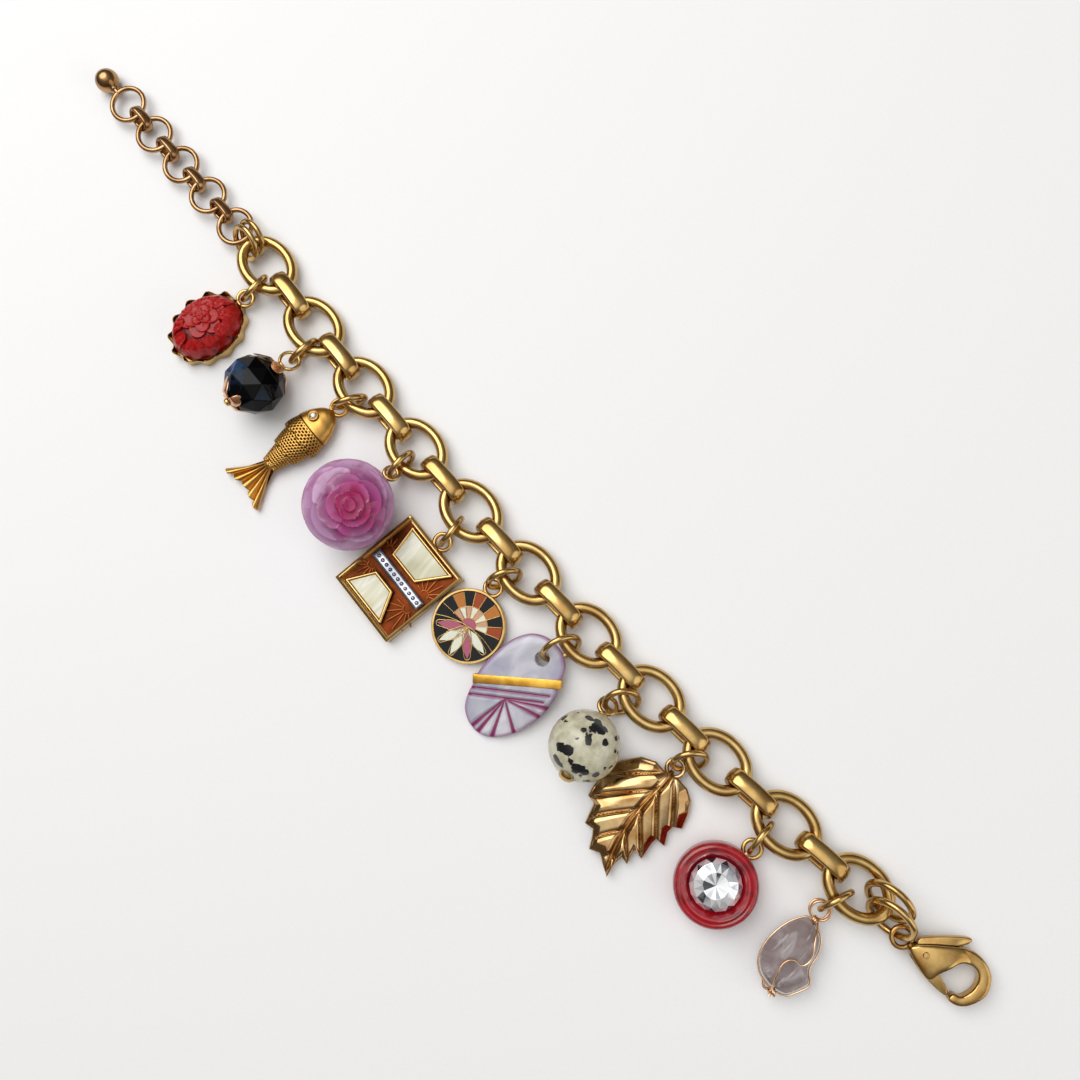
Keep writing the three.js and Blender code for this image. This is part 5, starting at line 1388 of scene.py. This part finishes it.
def foiled_glass():
    """Foil-backed cut glass with painted reflections: each facet is painted as a white flash, a grey mirror or a
    dark window.
    """
    made = bpy.data.materials.get("foiled cut glass")
    if made:
        return made
    material, tree, shader, place = surface("foiled cut glass", Roughness=0.04, IOR=1.6, Metallic=0.55,
                                            Coat_Weight=1.0, Coat_Roughness=0.01)
    # Painted reflection: each facet's stored value picks its flash, mirror or window tone.
    facet = node(tree, "Attribute", {"attribute_name": "facet"})
    cloud = node(tree, "TexNoise", {"Scale": 0.7, "Detail": 1.0}, Vector=place)
    mixed = node(tree, "Math", {"operation": "MULTIPLY_ADD", 1: 0.5}, _0=cloud.outputs["Fac"],
                 _2=facet.outputs["Fac"])
    stops = (0.3, "#3C3E46"), (0.45, "#A3A7AE"), (0.62, "#DDE0E4"), (0.9, "#FFFFFF")
    tone = ramp(tree, mixed.outputs[0], *stops)
    tree.links.new(tone, shader.inputs["Base Color"])
    return material


def lacquer_pearl(name, code):
    """Red resin with a pearly bloom: cherry red in cloudy patches, with a violet sheen at grazing angles."""
    material, tree, shader, place = surface(name, Roughness=0.22, IOR=1.54, Coat_Weight=0.3, Coat_Roughness=0.06,
                                            Sheen_Weight=0.08, Sheen_Roughness=0.3)
    shader.inputs["Sheen Tint"].default_value = linear("#B070C0")
    cloud = node(tree, "TexNoise", {"Scale": 0.25, "Detail": 4.0, "Distortion": 1.5}, Vector=place)
    tree.links.new(ramp(tree, cloud.outputs["Fac"], (0.3, "#700410"), (0.5, code), (0.72, "#B01626")),
                   shader.inputs["Base Color"])
    return material


def smoky_quartz():
    """Tumbled pale amethyst: cloudy grey-mauve glass with white fracture planes."""
    material, tree, shader, place = surface("tumbled quartz", Roughness=0.1, IOR=1.5, Transmission_Weight=0.18,
                                            Subsurface_Weight=0.25, Subsurface_Scale=0.0015)
    cloud = node(tree, "TexNoise", {"Scale": 0.28, "Detail": 5.0, "Distortion": 0.6}, Vector=place)
    tone = ramp(tree, cloud.outputs["Fac"], (0.3, "#857672"), (0.5, "#9F9190"), (0.68, "#BDB2B5"))
    spun = node(tree, "Mapping", {"Rotation": (0, 0, 0.9), "Scale": (1.6, 0.22, 0.6)}, Vector=place)
    crack = node(tree, "TexNoise", {"Scale": 0.8, "Detail": 6.0, "Distortion": 0.4}, Vector=spun.outputs[0])
    line = ramp(tree, crack.outputs["Fac"], (0.58, 0.0), (0.68, 0.75))
    mixed = node(tree, "Mix", {"data_type": "RGBA", 7: linear("#E6E0E2")}, _0=line)
    tree.links.new(tone, mixed.inputs[6])
    tree.links.new(mixed.outputs[2], shader.inputs["Base Color"])
    bump = node(tree, "Bump", {"Strength": 0.3, "Distance": 0.0003}, Height=cloud.outputs["Fac"])
    tree.links.new(bump.outputs["Normal"], shader.inputs["Normal"])
    return material


class BRACELET_OT_crystal(BraceletPiece, bpy.types.Operator):
    """Make the tumbled crystal in its wire wrap"""

    bl_idname = "bracelet.crystal"
    bl_label = "Wrapped crystal"

    def make(self, sizes):
        width, length, thick, lie = 8.3, 11.2, 5.6, 2.5
        corners = corners_of("crystal")
        top = -3.65
        place = matrix_from((1, 0, 0), (0, 1, 0), (0, 0, 1),
                            (corners[:, 0].min() + 0.23 * width, corners[:, 1].max() - top, 0))
        rows = [(-0.02, 0), (0.16, -0.02), (0.36, -0.09), (0.5, -0.25), (0.58, -0.48), (0.77, -0.61),
                (0.72, -0.78), (0.62, -0.93), (0.44, -0.99), (0.27, -1), (0.05, -0.96), (-0.14, -0.84),
                (-0.23, -0.63), (-0.23, -0.37), (-0.16, -0.16)]
        outline = along_outline([(x * width, top + y * length) for x, y in rows], 160, True)[::-1]
        centre = np.array([0.26 * width, top - 0.5 * length])

        def dome(x, y, share, index):
            ridge = 0.45 * np.exp(-((x - centre[0] - 0.25 * (y - centre[1]) + 0.6) / 1.3) ** 2)
            return thick * (0.86 + 0.1 * ridge) + 0.18 * np.sin(0.9 * x + 0.6 * y) - 0.6 * share ** 2

        gem = cushion("gem", outline, centre, 40, dome, lambda x, y, s, i: 0.35 * s ** 2, 3.4)
        settle(gem, "quartz_stone", place, smoky_quartz(), ["crystal"])

        grown = centre + (outline - centre) * (1 + 0.3 / np.linalg.norm(outline - centre, axis=1))[:, None]
        around = wire("around", [(x, y, lie + 0.3) for x, y in grown[::4]], 0.3, closed=True)
        over = thick + 0.25
        bends = [(0.1, 0.08, lie), (0.14, 0.02, 4.2), (0.26, -0.14, over - 0.2), (0.42, -0.38, over),
                 (0.37, -0.49, over), (0.22, -0.51, over), (0.13, -0.63, over), (0.2, -0.82, over - 0.2),
                 (0.34, -1.0, 4.2), (0.4, -1.09, lie)]
        front = wire("front", [(x * width, top + y * length, z) for x, y, z in bends], 0.3)
        eyes = [move(hoop("eye", 2.6, 0.36), (shift, -1.52, lie + lift), (tip, 0, 0))
                for shift, lift, tip in ((0, 0, 0), (0.25, 0.45, 8))]
        foot = top - 1.04 * length
        knot = [move(hoop("knot", 0.5, 0.42), (0.38 * width + 0.35 * i, foot, lie + 0.3), (0, 90, 20 * i))
                for i in range(3)]
        long_tail = [(0.38 * width, foot, lie), (0.28 * width, top - 1.08 * length, lie + 0.3),
                     (0.16 * width, top - 1.02 * length, lie + 0.5)]
        short_tail = [(0.42 * width, foot, lie), (0.44 * width, top - 1.12 * length, lie + 0.2)]
        tails = [wire("tail", long_tail, 0.45), wire("tail", short_tail, 0.5)]
        joint = [move(hoop("joint", 0.5, 0.42), (0.3 + 0.35 * i, top + 0.5, lie), (0, 90, 0)) for i in range(3)]
        thin = polished_gold("rose gold wire", "#E6C4A0", "#CFA27C", 0.2)
        settle(join("wrap", around, front, *eyes, *knot, *tails, *joint), "quartz_wrap", place, thin,
               ["crystal_wire"])


class BRACELET_OT_clasp(BraceletPiece, bpy.types.Operator):
    """Make the lobster clasp with its lever"""

    bl_idname = "bracelet.clasp"
    bl_label = "Lobster clasp"

    def make(self, sizes):
        length, width, thick = 14.1, 8.2, 3.2
        tip = math.asin((2.2 - thick / 2) / length)
        x_axis = Vector((math.cos(tip), 0, -math.sin(tip)))
        z_axis = Vector((math.sin(tip), 0, math.cos(tip)))
        hinge = Vector(frame["joints"][0]["pos_m"]) / MM
        origin = hinge - x_axis * 0.27 * length - Vector((0, 1, 0)) * 0.08 * width
        place = matrix_from(x_axis, (0, 1, 0), z_axis, origin)
        rows = [(0.13, 0.07), (0.3, 0.38), (0.52, 0.68), (0.7, 0.77), (0.88, 0.68), (0.98, 0.46), (1, 0.24),
                (0.95, -0.02), (0.87, -0.17), (0.755, -0.215), (0.755, -0.05), (0.83, 0), (0.865, 0.24),
                (0.82, 0.46), (0.72, 0.54), (0.6, 0.44), (0.555, 0.22), (0.51, 0), (0.48, -0.22), (0.3, -0.18),
                (0.13, -0.08)]
        outline = along_outline([(x * length, y * width) for x, y in rows], 150, True)
        body = slab("clasp", [tuple(p) for p in outline[::-1]], -thick / 2, thick / 2)
        round_edges(body, 0.85, 6, 60, profile=0.5)
        finish_with(body, "REMESH", mode="VOXEL", voxel_size=0.15)
        finish_with(body, "SMOOTH", factor=0.5, iterations=30)

        def domed(co):
            along = (co[:, 0] - 0.42 * length) / (0.4 * length)
            across = (co[:, 1] - 0.2 * width) / (0.45 * width)
            co[:, 2] *= 1 - 0.3 * np.clip(np.hypot(along, across), 0, 1) ** 2
            return co

        reshape(body, domed)
        slot = [(0.05, 0.16), (0.4, 1.1), (0.6, 1.1), (0.57, 0.78), (0.5, 0.62), (0.42, 0.36), (0.42, 0.3),
                (0.56, 0.25), (0.6, 0.1), (0.62, -0.4), (0.2, -0.4), (0.155, 0.02)]
        cutter = slab("slot", [(x * length, y * width) for x, y in slot], -0.9, 0.9)
        finish_with(body, "BOOLEAN", operation="DIFFERENCE", solver="EXACT", object=cutter)
        scrap(cutter)
        smooth(body, 40)
        eye = hoop("eye", 2.3, 0.8)
        neck = wire("neck", [(1.3, 0, 0), (2.0, 0, 0), (2.9, 0.2, 0)], 1.4)
        half = [(0, 1.72), (0.4, 1.7), (0.5, 1.6)]
        pin = half + [(far, -high) for far, high in half[::-1]]
        pivot = move(turned("pivot", pin, 32), (0.27 * length, 0.08 * width, 0))
        brass = polished_gold("cast brass", "#C8A668", "#A67C44", 0.15, 0.3)
        settle(join("clasp", body, eye, neck, pivot), "clasp_hook", place, brass, ["clasp_body"])
        blade = [(0.14, 0.26), (0.46, 0.84), (0.52, 0.78), (0.36, 0.3), (0.34, 0.1), (0.46, 0.02), (0.68, -0.08),
                 (0.71, -0.2), (0.5, -0.225), (0.36, -0.2), (0.27, -0.12), (0.2, 0.02)]
        arm = along_outline([(x * length, y * width) for x, y in blade], 100, True)
        lever = slab("lever", [tuple(p) for p in arm[::-1]], -0.6, 0.6, 0.2)
        settle(smooth(lever, 45), "clasp_lever_arm", place, brass, ["clasp_lever"], LEVER)


# Stage


class BRACELET_OT_stage(BraceletPiece, bpy.types.Operator):
    """Lay the table top and set up the light and the camera"""

    bl_idname = "bracelet.stage"
    bl_label = "Table, light and camera"

    def make(self, sizes):
        bpy.ops.mesh.primitive_plane_add(size=3)
        floor = added("table_top")
        material, tree, shader, place = surface("matt white card", Roughness=0.9)
        shader.inputs["Specular IOR Level"].default_value = 0.1
        grain = node(tree, "TexNoise", {"Scale": 2.0, "Detail": 3.0}, Vector=place)
        pale, grey = tones("floor", "floor_grain")
        tone = ramp(tree, grain.outputs["Fac"], (0.3, grey), (0.7, pale))
        tree.links.new(tone, shader.inputs["Base Color"])
        floor.data.materials.append(material)

        world = bpy.data.worlds.new("studio")
        bpy.context.scene.world = world
        world.use_nodes = True
        tree = world.node_tree
        backdrop = tree.nodes["Background"]
        coordinates = node(tree, "TexCoord")
        height = node(tree, "SeparateXYZ", _0=coordinates.outputs["Generated"])
        glow = ramp(tree, height.outputs["Z"], (0.0, 0.3), (0.1, "#46382F"), (0.5, "#645F5B"), (0.82, 0.26),
                    (0.94, 0.78), (1.0, 1.05))
        tree.links.new(glow, backdrop.inputs["Color"])
        backdrop.inputs["Strength"].default_value = 1.42

        low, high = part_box("big_link_1")
        link = (Vector(low) + Vector(high)) / 2 / MM
        aim_x, aim_y = 67.1, -0.18
        centre = Vector((link.x + aim_x, link.y + aim_y, 0))
        tilt = math.radians(9.1)
        far = 181.5
        eye = centre + Vector((far * math.sin(tilt), 0, far * math.cos(tilt)))
        back = Vector((math.sin(tilt), 0, math.cos(tilt)))
        right = (Vector((math.cos(tilt), 0, -math.sin(tilt))) + Vector((0, 1, 0))) / math.sqrt(2)
        bpy.ops.object.camera_add()
        camera = bpy.context.view_layer.objects.active
        camera.name = "photo_camera"
        up = back.cross(right)
        place = Matrix.Identity(4)
        for index, column in enumerate((right, up, back)):
            place.col[index][:3] = column
        place.col[3][:3] = eye * MM
        camera.matrix_world = place
        sensor, lens_share = 36, 1100 / 1080
        camera.data.lens = sensor * lens_share
        camera.data.sensor_width = sensor
        camera.data.clip_start = 0.005
        bpy.context.scene.camera = camera

        for name, spot, power, width in (
            ("key_softbox", right * -230 + up * 260 + back * 380, 1.8, 0.5),
            ("fill_softbox", right * 360 - up * 160 + back * 260, 0.45, 0.4),
        ):
            spot = spot + centre
            light = bpy.data.lights.new(name, "AREA")
            light.shape = "DISK"
            light.size = width
            light.energy = power
            lamp = bpy.data.objects.new(name, light)
            bpy.context.collection.objects.link(lamp)
            lamp.location = spot * MM
            lamp.rotation_euler = (centre - spot).to_track_quat("-Z", "Y").to_euler()
        bpy.context.scene.view_settings.view_transform = "Standard"


class BRACELET_PT_panel(bpy.types.Panel):
    """The sidebar panel with a button for each piece, the sizes and the colours"""

    bl_idname = "BRACELET_PT_panel"
    bl_label = "Charm bracelet"
    bl_space_type = "VIEW_3D"
    bl_region_type = "UI"
    bl_category = "Bracelet"

    def draw(self, context):
        for piece in PIECES:
            self.layout.operator(piece.bl_idname)
        for group in (context.scene.bracelet_sizes, context.scene.bracelet_colours):
            for name in group.__annotations__:
                self.layout.prop(group, name)


PIECES = (
    BRACELET_OT_links,
    BRACELET_OT_connectors,
    BRACELET_OT_rings,
    BRACELET_OT_extension,
    BRACELET_OT_coral,
    BRACELET_OT_black_bead,
    BRACELET_OT_fish,
    BRACELET_OT_rose,
    BRACELET_OT_square,
    BRACELET_OT_disc,
    BRACELET_OT_shell,
    BRACELET_OT_jasper,
    BRACELET_OT_leaf,
    BRACELET_OT_button,
    BRACELET_OT_crystal,
    BRACELET_OT_clasp,
    BRACELET_OT_stage,
)
CLASSES = (BraceletSizes, BraceletColours, *PIECES, BRACELET_PT_panel)


def register():
    for group in CLASSES:
        bpy.utils.register_class(group)
    bpy.types.Scene.bracelet_sizes = PointerProperty(type=BraceletSizes)
    bpy.types.Scene.bracelet_colours = PointerProperty(type=BraceletColours)


def unregister():
    del bpy.types.Scene.bracelet_colours
    del bpy.types.Scene.bracelet_sizes
    for group in reversed(CLASSES):
        bpy.utils.unregister_class(group)


def main():
    register()
    for piece in PIECES:
        name = piece.bl_idname.split(".")[1]
        if getattr(bpy.ops.bracelet, name)() != {"FINISHED"}:
            raise RuntimeError(name + " didn't finish")


if __name__ == "__main__":
    main()
